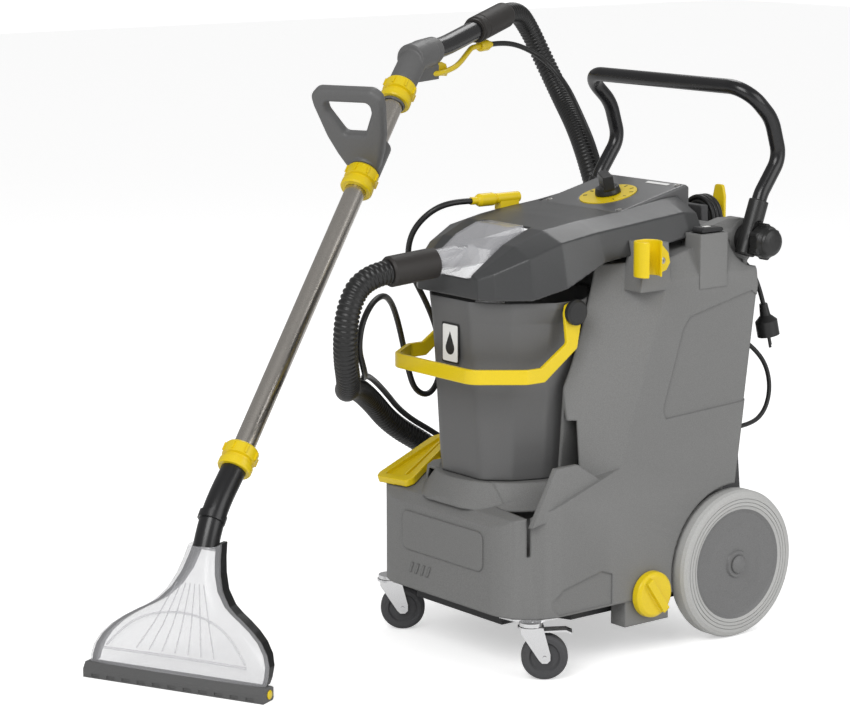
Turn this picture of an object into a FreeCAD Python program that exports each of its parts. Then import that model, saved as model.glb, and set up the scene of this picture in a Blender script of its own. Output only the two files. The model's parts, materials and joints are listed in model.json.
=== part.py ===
import FreeCAD, Part
import math
import os

# Spray-extraction carpet cleaner, millimetres.
# Machine frame: +Z up, floor at Z = 0, +X is the machine's left-to-right width,
# -Y is the end with the bucket, +Y the end with the push handle.

V = FreeCAD.Vector
Rot = FreeCAD.Rotation
Pl = FreeCAD.Placement

doc = FreeCAD.newDocument("CarpetCleaner")
sheet = doc.addObject("Spreadsheet::Sheet", "Sizes")
rows = [0]


class Dim:
    """A length that knows its spreadsheet expression."""

    def __init__(self, value, text):
        self.v = float(value)
        self.e = text

    def _two(self, other, op, turned=False):
        ov = other.v if isinstance(other, Dim) else float(other)
        oe = other.e if isinstance(other, Dim) else repr(float(other))
        a, b, ea, eb = (ov, self.v, oe, self.e) if turned else (self.v, ov, self.e, oe)
        r = {"+": a + b, "-": a - b, "*": a * b, "/": a / b if b else 0.0}[op]
        return Dim(r, "(%s %s %s)" % (ea, op, eb))

    def __add__(self, o): return self._two(o, "+")
    def __radd__(self, o): return self._two(o, "+", True)
    def __sub__(self, o): return self._two(o, "-")
    def __rsub__(self, o): return self._two(o, "-", True)
    def __mul__(self, o): return self._two(o, "*")
    def __rmul__(self, o): return self._two(o, "*", True)
    def __truediv__(self, o): return self._two(o, "/")
    def __neg__(self): return Dim(-self.v, "(0 - %s)" % self.e)


def val(x):
    return x.v if isinstance(x, Dim) else float(x)


def size(alias, value):
    rows[0] += 1
    sheet.set("A%d" % rows[0], alias)
    sheet.set("B%d" % rows[0], str(value))
    sheet.setAlias("B%d" % rows[0], alias)
    return Dim(value, "Sizes." + alias)


# ---------------------------------------------------------------- sizes
body_half = size("body_half_width", 205)
front_y = size("bumper_front", 290)
wall = size("moulding_wall", 5)
belly_z = size("belly_height", 97)
wheel_r = size("wheel_radius", 126)
wheel_w = size("wheel_width", 38)
wheel_in = size("wheel_inner_face", 186)
wheel_y = size("axle_position", 167)
hub_r = size("hub_disc_radius", 92)
axle_r = size("axle_radius", 10)
caster_r = size("caster_wheel_radius", 37.5)
caster_w = size("caster_wheel_width", 24)
caster_x = size("caster_swivel_offset", 186)
caster_y = size("caster_swivel_forward", 257)
trail = size("caster_trail", 22)
bucket_y = size("bucket_axis_forward", 145)
bucket_low = size("bucket_foot_radius", 108)
bucket_z0 = size("bucket_foot_height", 299)
bucket_z1 = size("bucket_rim_height", 596)
pivot_y = size("handle_pivot_position", 212)
pivot_z = size("handle_pivot_height", 669)
handle_r = size("handle_tube_radius", 12.5)
handle_x = size("handle_leg_offset", 200)
handle_top = size("handle_bar_height", 922)
tube_r = size("wand_tube_radius", 18)
tube_wall = size("wand_tube_wall", 1.5)
hose_r = size("suction_hose_radius", 20)
spray_r = size("spray_hose_radius", 5)
cord_r = size("power_cord_radius", 4)
dial_r = size("dial_radius", 49)
lip_w = size("nozzle_lip_width", 334)
shift_x = size("frame_shift_x", 0)
shift_y = size("frame_shift_y", 0)
doc.recompute()

parts = {}


def keep(name, o):
    o.Label = name
    parts[name] = o
    return o


def bind(o, prop, x):
    setattr(o, prop, val(x))
    if isinstance(x, Dim):
        o.setExpression(prop, x.e)


def place(o, at=(0, 0, 0), rot=None):
    o.Placement = Pl(V(*[val(c) for c in at]), rot if rot else Rot())
    if not rot:
        for k, c in zip("xyz", at):
            if isinstance(c, Dim):
                o.setExpression("Placement.Base." + k, c.e)
    return o


def box(name, lx, ly, lz, at=(0, 0, 0), rot=None):
    o = doc.addObject("Part::Box", name)
    bind(o, "Length", lx)
    bind(o, "Width", ly)
    bind(o, "Height", lz)
    return place(o, at, rot)


AX = {"x": Rot(V(0, 0, 1), V(1, 0, 0)), "y": Rot(V(0, 0, 1), V(0, 1, 0)),
      "-y": Rot(V(0, 0, 1), V(0, -1, 0)), "-x": Rot(V(0, 0, 1), V(-1, 0, 0)), "z": None}


def cyl(name, r, h, at=(0, 0, 0), axis="z", rot=None):
    o = doc.addObject("Part::Cylinder", name)
    bind(o, "Radius", r)
    bind(o, "Height", h)
    return place(o, at, rot if rot else AX[axis])


def cone(name, r1, r2, h, at=(0, 0, 0), axis="z", rot=None):
    o = doc.addObject("Part::Cone", name)
    bind(o, "Radius1", r1)
    bind(o, "Radius2", r2)
    bind(o, "Height", h)
    return place(o, at, rot if rot else AX[axis])


def fuse(name, *objs):
    o = doc.addObject("Part::MultiFuse", name)
    o.Shapes = list(objs)
    return o


def cut(name, a, *objs):
    o = doc.addObject("Part::Cut", name)
    o.Base = a
    o.Tool = objs[0] if len(objs) == 1 else fuse(name + "_tools", *objs)
    return o


def common(name, a, b):
    o = doc.addObject("Part::Common", name)
    o.Base = a
    o.Tool = b
    return o


def feat(name, shape, at=None):
    o = doc.addObject("Part::Feature", name)
    o.Shape = shape
    if at is not None:
        o.Placement = at
    return o


def body(name):
    return doc.addObject("PartDesign::Body", name)


def plane(b, role):
    return [q for q in b.Origin.OriginFeatures if q.Role == role][0]


def round_edges(pts, radii):
    """Edges of a closed polygon whose corners are rounded by tangent arcs."""
    n = len(pts)
    P = [V(val(q[0]), val(q[1]), 0) for q in pts]
    R = [radii] * n if isinstance(radii, (int, float)) else list(radii)
    starts, ends, mids = [], [], []
    for i in range(n):
        a, b, c = P[i - 1], P[i], P[(i + 1) % n]
        if R[i] <= 0:
            starts.append(b)
            ends.append(b)
            mids.append(None)
            continue
        u = (a - b).normalize()
        w = (c - b).normalize()
        half = u.getAngle(w) / 2.0
        t = R[i] / math.tan(half)
        t = min(t, 0.49 * (a - b).Length, 0.49 * (c - b).Length)
        r = t * math.tan(half)
        s, e = b + u * t, b + w * t
        cen = b + (u + w).normalize() * (r / math.sin(half))
        starts.append(s)
        ends.append(e)
        mids.append(cen + (b - cen).normalize() * r)
    out = []
    for i in range(n):
        if mids[i] is not None:
            out.append(Part.Arc(starts[i], mids[i], ends[i]))
        a, b = ends[i], starts[(i + 1) % n]
        if (b - a).Length > 1e-4:
            out.append(Part.LineSegment(a, b))
    return out


def sketch(b, role, pts, radii=0, off=0.0, circles=()):
    s = b.newObject("Sketcher::SketchObject", b.Name + "_sketch")
    s.AttachmentSupport = [(plane(b, role), "")]
    s.MapMode = "FlatFace"
    s.AttachmentOffset = Pl(V(0, 0, val(off)), Rot())
    if isinstance(off, Dim):
        s.setExpression("AttachmentOffset.Base.z", off.e)
    import Sketcher
    if pts:
        if radii == 0:
            n = len(pts)
            ids = [s.addGeometry(Part.LineSegment(V(val(pts[i][0]), val(pts[i][1]), 0),
                                                  V(val(pts[(i + 1) % n][0]), val(pts[(i + 1) % n][1]), 0)), False)
                   for i in range(n)]
            for i in range(n):
                s.addConstraint(Sketcher.Constraint("Coincident", ids[i], 2, ids[(i + 1) % n], 1))
            for i in range(n):
                for k, kind in ((0, "DistanceX"), (1, "DistanceY")):
                    c = pts[i][k]
                    if isinstance(c, Dim) and abs(c.v) > 1e-6:
                        v = c.v
                        if v > 0:
                            j = s.addConstraint(Sketcher.Constraint(kind, -1, 1, ids[i], 1, v))
                            s.setExpression("Constraints[%d]" % j, c.e)
                        else:
                            j = s.addConstraint(Sketcher.Constraint(kind, ids[i], 1, -1, 1, -v))
                            s.setExpression("Constraints[%d]" % j, "0 - " + c.e)
        else:
            for g in round_edges(pts, radii):
                s.addGeometry(g, False)
    for cx, cy, r in circles:
        g = s.addGeometry(Part.Circle(V(val(cx), val(cy), 0), V(0, 0, 1), val(r)), False)
        if isinstance(r, Dim):
            j = s.addConstraint(Sketcher.Constraint("Radius", g, val(r)))
            s.setExpression("Constraints[%d]" % j, r.e)
    return s


def pad(b, s, length, mid=False, rev=False):
    p = b.newObject("PartDesign::Pad", b.Name + "_pad")
    p.Profile = (s, [""])
    bind(p, "Length", length)
    if mid:
        p.Midplane = True
    if rev:
        p.Reversed = True
    s.Visibility = False
    return p


def pocket(b, s, length, rev=False, mid=False):
    p = b.newObject("PartDesign::Pocket", b.Name + "_pocket")
    p.Profile = (s, [""])
    bind(p, "Length", length)
    p.Reversed = rev
    if mid:
        p.Midplane = True
    return p


def spin(b, s, axis="V_Axis", angle=360, rev=False):
    p = b.newObject("PartDesign::Revolution", b.Name + "_turned")
    p.Profile = (s, [""])
    p.ReferenceAxis = (s, [axis])
    p.Angle = angle
    p.Reversed = rev
    return p


def prism(name, role, pts, length, off=0.0, radii=0, mid=False, rev=False, circles=(), at=None, rot=None):
    """A PartDesign body: one sketch, one pad."""
    b = body(name)
    s = sketch(b, role, pts, radii, off, circles)
    pad(b, s, length, mid, rev)
    if at is not None or rot is not None:
        place(b, at or (0, 0, 0), rot)
    return b


def turned(name, pts, at=(0, 0, 0), rot=None, radii=0):
    """A PartDesign body turned about its own Z axis; pts are (radius, height)."""
    b = body(name)
    s = sketch(b, "XZ_Plane", pts, radii)
    spin(b, s, "V_Axis")
    place(b, at, rot)
    return b


def poly_wire(pts, radii=0):
    """A closed planar wire in XY with rounded corners."""
    if radii == 0:
        q = [V(val(a), val(b), 0) for a, b in pts]
        return Part.makePolygon(q + [q[0]])
    return Part.Wire([g.toShape() for g in round_edges(pts, radii)])


def loft(name, sections, ruled=False):
    ws = []
    for pts, radii, pl in sections:
        w = poly_wire(pts, radii)
        w.Placement = pl
        ws.append(w)
    return Part.makeLoft(ws, True, ruled)


XZ = Rot(V(1, 0, 0), V(0, 0, 1), V(0, -1, 0), "ZXY")     # sketch x -> X, y -> Z
YZ = Rot(V(0, 1, 0), V(0, 0, 1), V(1, 0, 0), "ZXY")      # sketch x -> Y, y -> Z


def route(pts, radius=None, show=None):
    """Straight runs joined by tangent arcs. Arc radius is 0.45 of the shorter
    run over the tangent of half the turn unless a radius is given."""
    P = [V(*[val(c) for c in q]) for q in pts]
    n = len(P)
    edges, last, info, total = [], P[0], [], 0.0
    for i in range(1, n - 1):
        u = (P[i - 1] - P[i])
        w = (P[i + 1] - P[i])
        lu, lw = u.Length, w.Length
        u.normalize()
        w.normalize()
        ang = u.getAngle(w)
        half = ang / 2.0
        turn = math.pi - ang
        rr = radius[i] if isinstance(radius, dict) and i in radius else None
        if rr is None and isinstance(radius, (int, float)):
            rr = radius
        if rr is None:
            rr = 0.45 * min(lu, lw) / math.tan(turn / 2.0)
        t = rr / math.tan(half)
        s, e = P[i] + u * t, P[i] + w * t
        cen = P[i] + (u + w).normalize() * (rr / math.sin(half))
        m = cen + (P[i] - cen).normalize() * rr
        if (s - last).Length > 1e-4:
            edges.append(Part.LineSegment(last, s).toShape())
            total += (s - last).Length
        edges.append(Part.Arc(s, m, e).toShape())
        total += rr * turn
        last = e
        info.append((round(rr, 1), round(math.degrees(turn), 1)))
    edges.append(Part.LineSegment(last, P[-1]).toShape())
    total += (P[-1] - last).Length
    if show:
        runs = [round((P[i + 1] - P[i]).Length, 1) for i in range(n - 1)]
        print(show, "runs", runs, "radius/turn", info, "length", round(total, 1))
    return Part.Wire(edges), total


def tube(name, pts, r, radius=None, inner=None, show=None):
    wire, total = route(pts, radius, show)
    d = (V(*[val(c) for c in pts[1]]) - V(*[val(c) for c in pts[0]])).normalize()
    p0 = V(*[val(c) for c in pts[0]])

    def sweep(rad):
        prof = Part.Wire([Part.Circle(p0, d, rad).toShape()])
        return wire.makePipeShell([prof], True, False)
    sh = sweep(val(r))
    full = math.pi * val(r) ** 2 * total
    if abs(sh.Volume - full) > 0.02 * full:
        print("WARNING", name, "volume", sh.Volume, "expected", full)
    if inner:
        sh = sh.cut(sweep(val(inner)))
    return feat(name, sh)


def mirror_x(name, o):
    m = doc.addObject("Part::Mirroring", name)
    m.Source = o
    m.Normal = V(1, 0, 0)
    m.Base = V(0, 0, 0)
    return m


# ================================================================ main body
# outer moulding as a function of the inset, so that the hollow follows the skin
def slant(sign, inset):
    """Half space in front of the raked wing face, as a big block."""
    n = V(0.80, -0.57, 0.19)
    n.normalize()
    p = V(205, -11, 544) - n * inset
    b = Part.makeBox(600, 1200, 600, V(0, -600, -300))
    b.Placement = Pl(p, Rot(V(1, 0, 0), n)) * b.Placement
    if sign < 0:
        b = b.mirror(V(0, 0, 0), V(1, 0, 0))
    return b


def moulding(i):
    hw = body_half.v - i
    fy = front_y.v - i

    def side(pts, x0, x1):
        w = Part.makePolygon([V(x0, y, z) for y, z in pts + pts[:1]])
        return Part.Face(w).extrude(V(x1 - x0, 0, 0))
    # lower block with the sloping deck
    low = side([(-fy, 97 + i), (-fy, 243 - i * 0.6), (-fy + 12, 258 - i), (-60, 333 - i), (172 - i, 333 - i),
                (172 - i, 253), (160 - i, 97 + i)], -hw, hw)
    # plan outline with rounded bumper corners
    plan = poly_wire([(-hw, -fy), (hw, -fy), (hw, 172), (-hw, 172)], [82 - i, 82 - i, 0, 0])
    plan = Part.Face(plan).extrude(V(0, 0, 700))
    low = low.common(plan)
    # tank column behind the bucket
    col = side([(-245, 262), (-245, 644 - i), (-110, 644 - i), (30, 655 - i), (95, 668 - i), (150, 690 - i), (205 - i, 690 - i),
                (219 - i, 595), (186 - i, 353), (172 - i, 253), (172 - i, 262)], -hw, hw)
    col = col.cut(slant(1, i)).cut(slant(-1, i))
    # bucket bay
    bay = Part.makeCone(bucket_low.v + 10 + i, 152 + i, 400 + 2, V(0, -bucket_y.v, 300 - i), V(0, 0, 1))
    front = Part.makeBox(2 * (96 + i), 300, 400, V(-(96 + i), -bucket_y.v - 300, 300 - i))
    ahead = Part.makeBox(2 * 215, 200, 420, V(-215, -bucket_y.v - 200, 300 - i))
    col = col.cut(bay).cut(front).cut(ahead)
    sh = low.fuse(col)
    # the long edges along the top of the shoulders are bevelled
    for s in (1, -1):
        w = Part.makePolygon([V(s * (hw + 1), 0, 618 - i), V(s * (hw - 34), 0, 700), V(s * (hw + 1), 0, 700), V(s * (hw + 1), 0, 618 - i)])
        f = Part.Face(w).extrude(V(0, 500, 0))
        f.translate(V(0, -250, 0))
        sh = sh.cut(f)
    # wheel wells
    for s in (1, -1):
        c = Part.makeCylinder(wheel_r.v + 10 + i, 60, V(s * (wheel_in.v - 8 - i), wheel_y.v, wheel_r.v), V(s, 0, 0))
        sh = sh.cut(c)
    return sh


outer = moulding(0.0)
inner = moulding(wall.v)
# rear of the hollow is open, under the rear cover
rear_open = Part.makeBox(2 * 160, 80, 420, V(-160, 150, 110))
shell = outer.cut(inner).cut(rear_open)
# raised round plinth that the bucket stands on, flush with its foot
plinth = Part.makeCone(150, 124, 41, V(0, -bucket_y.v, 258), V(0, 0, 1))
keepbox = Part.makeBox(400, 290, 60, V(-200, -288, 250))
plinth = plinth.common(keepbox)
shell = shell.fuse(plinth.cut(inner))
bay_floor = Part.makeCylinder(bucket_low.v + 10, 60, V(0, -bucket_y.v, 299), V(0, 0, 1))
shell = shell.cut(bay_floor)
# tool pocket on the right of the deck with its raised outer fin
pk = Part.makePolygon([V(70, -254, 0), V(186, -264, 0), V(194, -150, 0), V(140, -128, 0), V(118, -190, 0), V(70, -254, 0)])
pocket_solid = Part.Face(pk).extrude(V(0, 0, 200))
pocket_solid.translate(V(0, 0, 200))
pocket_outer = Part.makePolygon([V(65, -259, 0), V(191, -270, 0), V(199, -145, 0), V(136, -122, 0), V(112, -190, 0), V(65, -259, 0)])
pocket_outer = Part.Face(pocket_outer).extrude(V(0, 0, 100))
pocket_outer.translate(V(0, 0, 195))
pocket_outer = pocket_outer.common(outer)
shell = shell.fuse(pocket_outer)
fin = Part.makePolygon([V(0, -268, 250), V(0, -218, 340), V(0, -172, 341), V(0, -118, 306), V(0, -150, 270), V(0, -268, 250)])
fin = Part.Face(fin).extrude(V(9, 0, 0))
fin.translate(V(191, 0, 0))
shell = shell.fuse(fin)
pocket_cut = pocket_solid.cut(Part.makeCone(152, 126, 42, V(0, -bucket_y.v, 258), V(0, 0, 1)))
shell = shell.cut(pocket_cut)
# recessed lower side bays, ribs, and the drain boss
for s in (1, -1):
    pts = [(-232, 118), (-214, 100), (-100, 100), (-100, 150), (-122, 158), (-205, 140)]
    w = Part.makePolygon([V(s * (body_half.v - 2.2), y, z) for y, z in pts + pts[:1]])
    shell = shell.cut(Part.Face(w).extrude(V(s * 12, 0, 0)))
    # shallow side panel
    pts = [(14, 392), (8, 408), (51, 538), (66, 556), (205, 586), (240, 560), (215, 420), (188, 400)]
    w = Part.makePolygon([V(s * (body_half.v - 2.2), y, z) for y, z in pts + pts[:1]])
    shell = shell.cut(Part.Face(w).extrude(V(s * 12, 0, 0)))
    # rear arm that carries the handle pivot boss
    pts = [(70, 640), (110, 690), (175, 705), (212, 703), (240, 688), (246, 669), (236, 644), (222, 632), (215, 600), (150, 600)]
    w = Part.makePolygon([V(s * 150, y, z) for y, z in pts + pts[:1]])
    arm = Part.Face(w).extrude(V(s * 26, 0, 0))
    boss = Part.makeCylinder(34, 38, V(s * 140, pivot_y.v, pivot_z.v), V(s, 0, 0))
    shell = shell.fuse(arm).fuse(boss)
# filler neck under the cap, axle tunnel, drain outlet, socket seat
tilt = Rot(V(1, 0, 0), 19)
neck = Part.makeCylinder(24, 60)
neck.Placement = Pl(V(-140, -189.5, 250), tilt)
ring = Part.makeCylinder(29, 40)
ring.Placement = Pl(V(-140, -189.5, 250), tilt)
print("ring", ring.common(outer).isValid())
shell = shell.cut(neck)
print("after neck", shell.isValid(), len(shell.Solids))
shell = shell.cut(Part.makeCylinder(axle_r.v, 500, V(-250, wheel_y.v, wheel_r.v), V(1, 0, 0)))
boss = Part.makeCylinder(31, 34, V(body_half.v - 36, -19, 84 + 20), V(1, 0, 0))
drain_hole = Part.makeCylinder(22.5, 60, V(body_half.v - 45, -19, 104), V(1, 0, 0))
skirt = Part.makeBox(34, 96, 70, V(body_half.v - 36, -70, 54))
skirt_cut = Part.makeBox(60, 200, 60, V(body_half.v - 45, -70, 0))
skirt = skirt.cut(Part.makeCylinder(wheel_r.v + 10, 80, V(body_half.v - 45, wheel_y.v, wheel_r.v), V(1, 0, 0)))
shell = shell.fuse(skirt).cut(drain_hole)
seat = Part.makeBox(36.5, 62, 90, V(170, 84, 599.5))
shell = shell.fuse(seat).cut(Part.makeBox(27.1, 50.6, 110, V(176.2, 89.7, 621.7)))
# room round the handle pivots for the tees
for s in (1, -1):
    shell = shell.cut(Part.makeCylinder(43, 40, V(s * 178.2, pivot_y.v, pivot_z.v), V(s, 0, 0)))
    shell = shell.fuse(Part.makeCylinder(6.75, 55, V(s * 150, pivot_y.v, pivot_z.v), V(s, 0, 0)))
main_body = keep("main_body", feat("main_body_shell", shell))
print("pieces", [(round(q.Volume), [round(c) for c in (q.BoundBox.XMin, q.BoundBox.YMin, q.BoundBox.ZMin, q.BoundBox.XMax, q.BoundBox.YMax, q.BoundBox.ZMax)]) for q in shell.Solids])
print("main body solids", len(shell.Solids), "valid", shell.isValid(), "volume cm3", round(shell.Volume / 1000))

# ---------------------------------------------------------------- base pan
keep("base_pan", prism("base_pan_body", "XY_Plane",
     [(-112, -256), (112, -256), (112, -170), (160, -150), (160, 120), (-160, 120), (-160, -150), (-112, -170)],
     25, off=belly_z - 25.2))

# ---------------------------------------------------------------- rear cover
rc_out = prism("rear_cover_outer", "YZ_Plane",
               [(172, 150), (228, 160), (230, 236), (214, 400), (236, 598), (224, 628), (206, 640), (150, 640), (150, 596), (219.4, 595), (186.4, 353), (172.4, 253)],
               2 * 160, mid=True)
rc_in = prism("rear_cover_inner", "YZ_Plane",
              [(150, 156), (223, 165), (225, 236), (209, 400), (231, 598), (220, 624), (203, 634), (150, 634)],
              2 * 155, mid=True)
rc = cut("rear_cover_shell", rc_out, rc_in,
         cyl("rear_axle_slot", 14, 400, (-200, wheel_y, wheel_r), "x"))
board = prism("hook_board_plate", "XZ_Plane", [(-8, 590), (72, 590), (64, 712), (0, 712)], 16, radii=3, off=-236)
keep("rear_cover", fuse("rear_cover_with_board", rc, board))

# ================================================================ top cover
def cover_sections(i):
    """Cross sections along Y: (y, low half width, low z, crease half width, crease z, top half width, top z)."""
    rows_ = [(-279, 78, 601, 76, 634, 66, 640),
             (-262, 104, 601, 98, 645, 76, 652),
             (-215, 138, 601, 128, 668, 90, 684),
             (-160, 160, 618, 144, 690, 96, 706),
             (-90, 170, 655, 150, 702, 100, 716),
             (0, 172, 667, 152, 711, 104, 724),
             (95, 172, 682, 154, 720, 104, 738),
             (128, 164, 690, 150, 716, 104, 741)]
    out = []
    for k, (y, lw, lz, cw, cz, tw, tz) in enumerate(rows_):
        yy = y + (i if k == 0 else 0) - (i if k == len(rows_) - 1 else 0)
        pts = [(-(lw - i), lz - i * 3), (lw - i, lz - i * 3), (cw - i, cz - i), (tw - i * 0.5, tz - i), (-(tw - i * 0.5), tz - i), (-(cw - i), cz - i)]
        out.append([V(a, yy, b) for a, b in pts])
    return out


def skin(sections):
    ws = [Part.makePolygon(s + s[:1]) for s in sections]
    return Part.makeLoft(ws, True, True)


cover = skin(cover_sections(0.0)).cut(skin(cover_sections(4.0)))
cover_floor = Part.makeBox(304, 300, 4, V(-152, -150, 656))
cover = cover.fuse(cover_floor.common(skin(cover_sections(2.0))))
# seat for the inlet dome and the hole through which the turbine draws
dome_cut = Part.makeBox(120, 130, 100, V(-60, -285, 634.5))
cover = cover.cut(dome_cut)
cover = cover.cut(Part.makeCylinder(44, 40, V(0, -60, 640), V(0, 0, 1)))
cover = cover.cut(Part.makeBox(200, 140, 60, V(-100, -4, 712)))
top_cover = keep("top_cover", feat("top_cover_shell", cover))
print("top cover solids", len(cover.Solids), cover.isValid(), round(cover.Volume / 1000))

# ---------------------------------------------------------------- console
con_out = prism("console_outer", "YZ_Plane", [(-4, 712.2), (0, 722), (150, 757), (158, 752), (158, 712.2)], 200, mid=True)
con_in = prism("console_inner", "YZ_Plane", [(2, 705), (4, 718.5), (149, 752.6), (153, 748), (153, 705)], 192, mid=True)
dial_rot = Rot(V(1, 0, 0), math.degrees(math.atan2(35, 150)))
DC = V(0, 66, 0)
DC.z = 722 + (66) * 35 / 150.0
nrm = dial_rot.multVec(V(0, 0, 1))
hole = cyl("switch_hole", 8, 40, tuple(DC - nrm * 20), rot=dial_rot)
seat = cyl("dial_seat", dial_r + 0.2, 10, tuple(DC - nrm * 1.0), rot=dial_rot)
scr_at = [(-88, 12), (88, 12), (-88, 142), (88, 142)]


def on_console(x, y, d=0.0):
    return V(x, y, 722 + y * 35 / 150.0) + nrm * d


screw_holes = [cyl("console_hole_%d" % k, 2.5, 20, tuple(on_console(x, y, -12)), rot=dial_rot) for k, (x, y) in enumerate(scr_at)]
heads_cut = [cyl("console_counterbore_%d" % k, 5.2, 6, tuple(on_console(x, y, -1.8)), rot=dial_rot) for k, (x, y) in enumerate(scr_at)]
keep("control_console", cut("control_console_shell", con_out, con_in, hole, seat, *(screw_holes + heads_cut)))
dp = turned("dial_plate_disc", [(8, 0), (dial_r, 0), (dial_r, 2.2), (8, 2.2)], tuple(DC - nrm * 1.0), dial_rot)
keep("dial_plate", dp)
screws = []
for k, (x, y) in enumerate(scr_at):
    sc = turned("panel_screw_%d" % k, [(0, -10), (2.4, -10), (2.4, -1.8), (5, -1.8), (5, 0.4), (3.6, 1.2), (2.2, 1.2), (1.9, -0.8), (0, -0.8)],
                tuple(on_console(x, y)), dial_rot)
    screws.append(sc)
# the clip's screw is of the same kind
screws.append(turned("panel_screw_4", [(0, -12), (2.4, -12), (2.4, -1.8), (5, -1.8), (5, 0.4), (3.6, 1.2), (2.2, 1.2), (1.9, -0.8), (0, -0.8)],
                     (211.8, -4, 656), Rot(V(0, 0, 1), V(1, 0, 0))))
keep("panel_screws", fuse("panel_screw_group", *screws))
# knob: round skirt with a raised pointer bar
kn = turned("knob_skirt", [(0, 0), (22, 0), (22, 3), (20, 12), (0, 12)])
kb = prism("knob_bar", "XY_Plane", [(-9, -23), (9, -23), (9, 20), (0, 27), (-9, 20)], 24, off=10)
kst = cyl("knob_stem", 4.9, 16, (0, 0, -15))
knob = fuse("selector_knob_group", kn, kb, kst)
knob.Placement = Pl(DC + nrm * 1.6, dial_rot * Rot(V(0, 0, 1), 60))
keep("selector_knob", knob)
sw = fuse("rotary_switch_solid", box("switch_case", 40, 40, 16, (-20, -20, -32)), cyl("switch_collar", 7.6, 12.5, (0, 0, -16.2)))
swc = cut("rotary_switch_block", sw, cyl("switch_bore", 5.0, 18, (0, 0, -19)))
swc.Placement = Pl(DC + nrm * 1.6, dial_rot)
keep("rotary_switch", swc)

# ---------------------------------------------------------------- inlet dome with its spigot
def dome(i):
    secs = []
    for y, hw, z0, z1, tw in ((-283, 55, 634.6, 640, 50), (-262, 58, 634.6, 664, 46), (-225, 59.7, 634.6, 692, 44), (-185, 59.7, 634.6, 708, 42), (-156, 59.7, 634.6, 708, 42)):
        yy = y + (i if y == -283 else (-i if y == -156 else 0))
        secs.append([V(a, yy, b) for a, b in [(-(hw - i), z0 - 2 * i), (hw - i, z0 - 2 * i), (hw - i, z0 + (z1 - z0) * 0.5), (tw - i, z1 - i), (-(tw - i), z1 - i), (-(hw - i), z0 + (z1 - z0) * 0.5)]])
    return skin(secs)


sp_dir = V(-0.05, -0.996, -0.08)
sp_dir.normalize()
SP = V(-1, -262, 659)
spig = Part.makeCylinder(21, 44, SP, sp_dir).fuse(Part.makeCylinder(17.5, 40, SP - sp_dir * 36, sp_dir))
bore = Part.makeCylinder(15, 110, SP - sp_dir * 42, sp_dir)
dm = dome(0).cut(dome(2.5)).fuse(spig).cut(bore)
keep("inlet_dome", feat("inlet_dome_shell", dm))
print("dome", len(dm.Solids), dm.isValid())
# rubber cuff that joins the suction hose to the spigot
CUFF = SP + sp_dir * 44
cuff = body("machine_hose_cuff_body")
sk = sketch(cuff, "XZ_Plane", [(16, 0), (25, 0), (25, 84), (22.5, 88), (16, 88)])
spin(cuff, sk)
place(cuff, tuple(CUFF), Rot(V(0, 0, 1), sp_dir))
keep("machine_hose_cuff", cuff)
CUFF_END = CUFF + sp_dir * 88
print("cuff end", [round(c, 1) for c in CUFF_END])

# ---------------------------------------------------------------- turbine and pump inside
tb = turned("turbine_case", [(0, 0), (34, 0), (34, 60), (58, 66), (62, 72), (62, 108), (34, 112), (34, 127), (0, 127)], (0, 80, 532))
keep("vacuum_turbine", tb)
pm = fuse("spray_pump_block", box("pump_head", 60, 50, 50, (-30, 40, 102)), cyl("pump_motor", 24, 90, (30.0, 65, 127), "x"))
keep("spray_pump", pm)

# ---------------------------------------------------------------- yellow tube clip on the side
jaw_o = cyl("clip_jaw_outer", 23, 58, (226, -50, 636))
jaw_i = cyl("clip_jaw_bore", 19, 70, (226, -50, 630))
gap = box("clip_gap", 40, 26, 70, (226, -63, 630))
ear = prism("clip_ear", "YZ_Plane", [(-34, 640), (-34, 690), (-8, 684), (8, 668), (12, 652), (4, 640), (-10, 636)], 7, off=205.2)
rib = box("clip_rib", 14, 12, 52, (205.2, -36, 640))
clip = cut("tube_clip_block", fuse("clip_solid", jaw_o, ear, rib), jaw_i, gap, box("clip_back_trim", 30, 80, 80, (175.2, -90, 626)),
           cyl("clip_screw_hole", 2.5, 20, (200, -4, 656), "x"), cyl("clip_counterbore", 5.2, 6, (210.0, -4, 656), "x"))
keep("tube_clip", clip)
# pad of the body that the clip is screwed to
tri = Part.makePolygon([V(191.2, -46, 606), V(191.2, 22, 606), V(191.2, 14, 684), V(191.2, -34, 686), V(191.2, -46, 606)])
lug = Part.Face(tri).extrude(V(13.8, 0, 0)).cut(Part.makeCylinder(2.45, 30, V(190, -4, 656), V(1, 0, 0)))
doc.recompute()
main_body.Shape = shell.fuse(Part.Face(tri).extrude(V(-30, 0, 0)).cut(skin(cover_sections(-0.6)))).fuse(lug).cut(Part.makeCylinder(2.45, 30, V(190, -4, 656), V(1, 0, 0)))
for trim, tool in (("cover", skin(cover_sections(0.0))), ("rear cover", rc_out.Shape)):
    got = main_body.Shape.cut(tool)
    print("trim", trim, got.isValid(), len(got.Solids), round(got.Volume))
    main_body.Shape = got
print("body after lug", len(main_body.Shape.Solids), main_body.Shape.isValid())

# ---------------------------------------------------------------- brush socket on the right rear shoulder, with a sprung lid
so = box("socket_case", 26.5, 50, 68, (176.5, 90, 622))
si = box("socket_well", 20, 36, 34, (179.5, 97, 660))
keep("brush_socket", cut("brush_socket_block", so, si))
lid = prism("socket_lid_body", "YZ_Plane", [(91, 690.8), (136, 690.8), (139, 694), (136, 698), (96, 699), (91, 695)], 26, off=177)
keep("socket_lid", lid)

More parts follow.
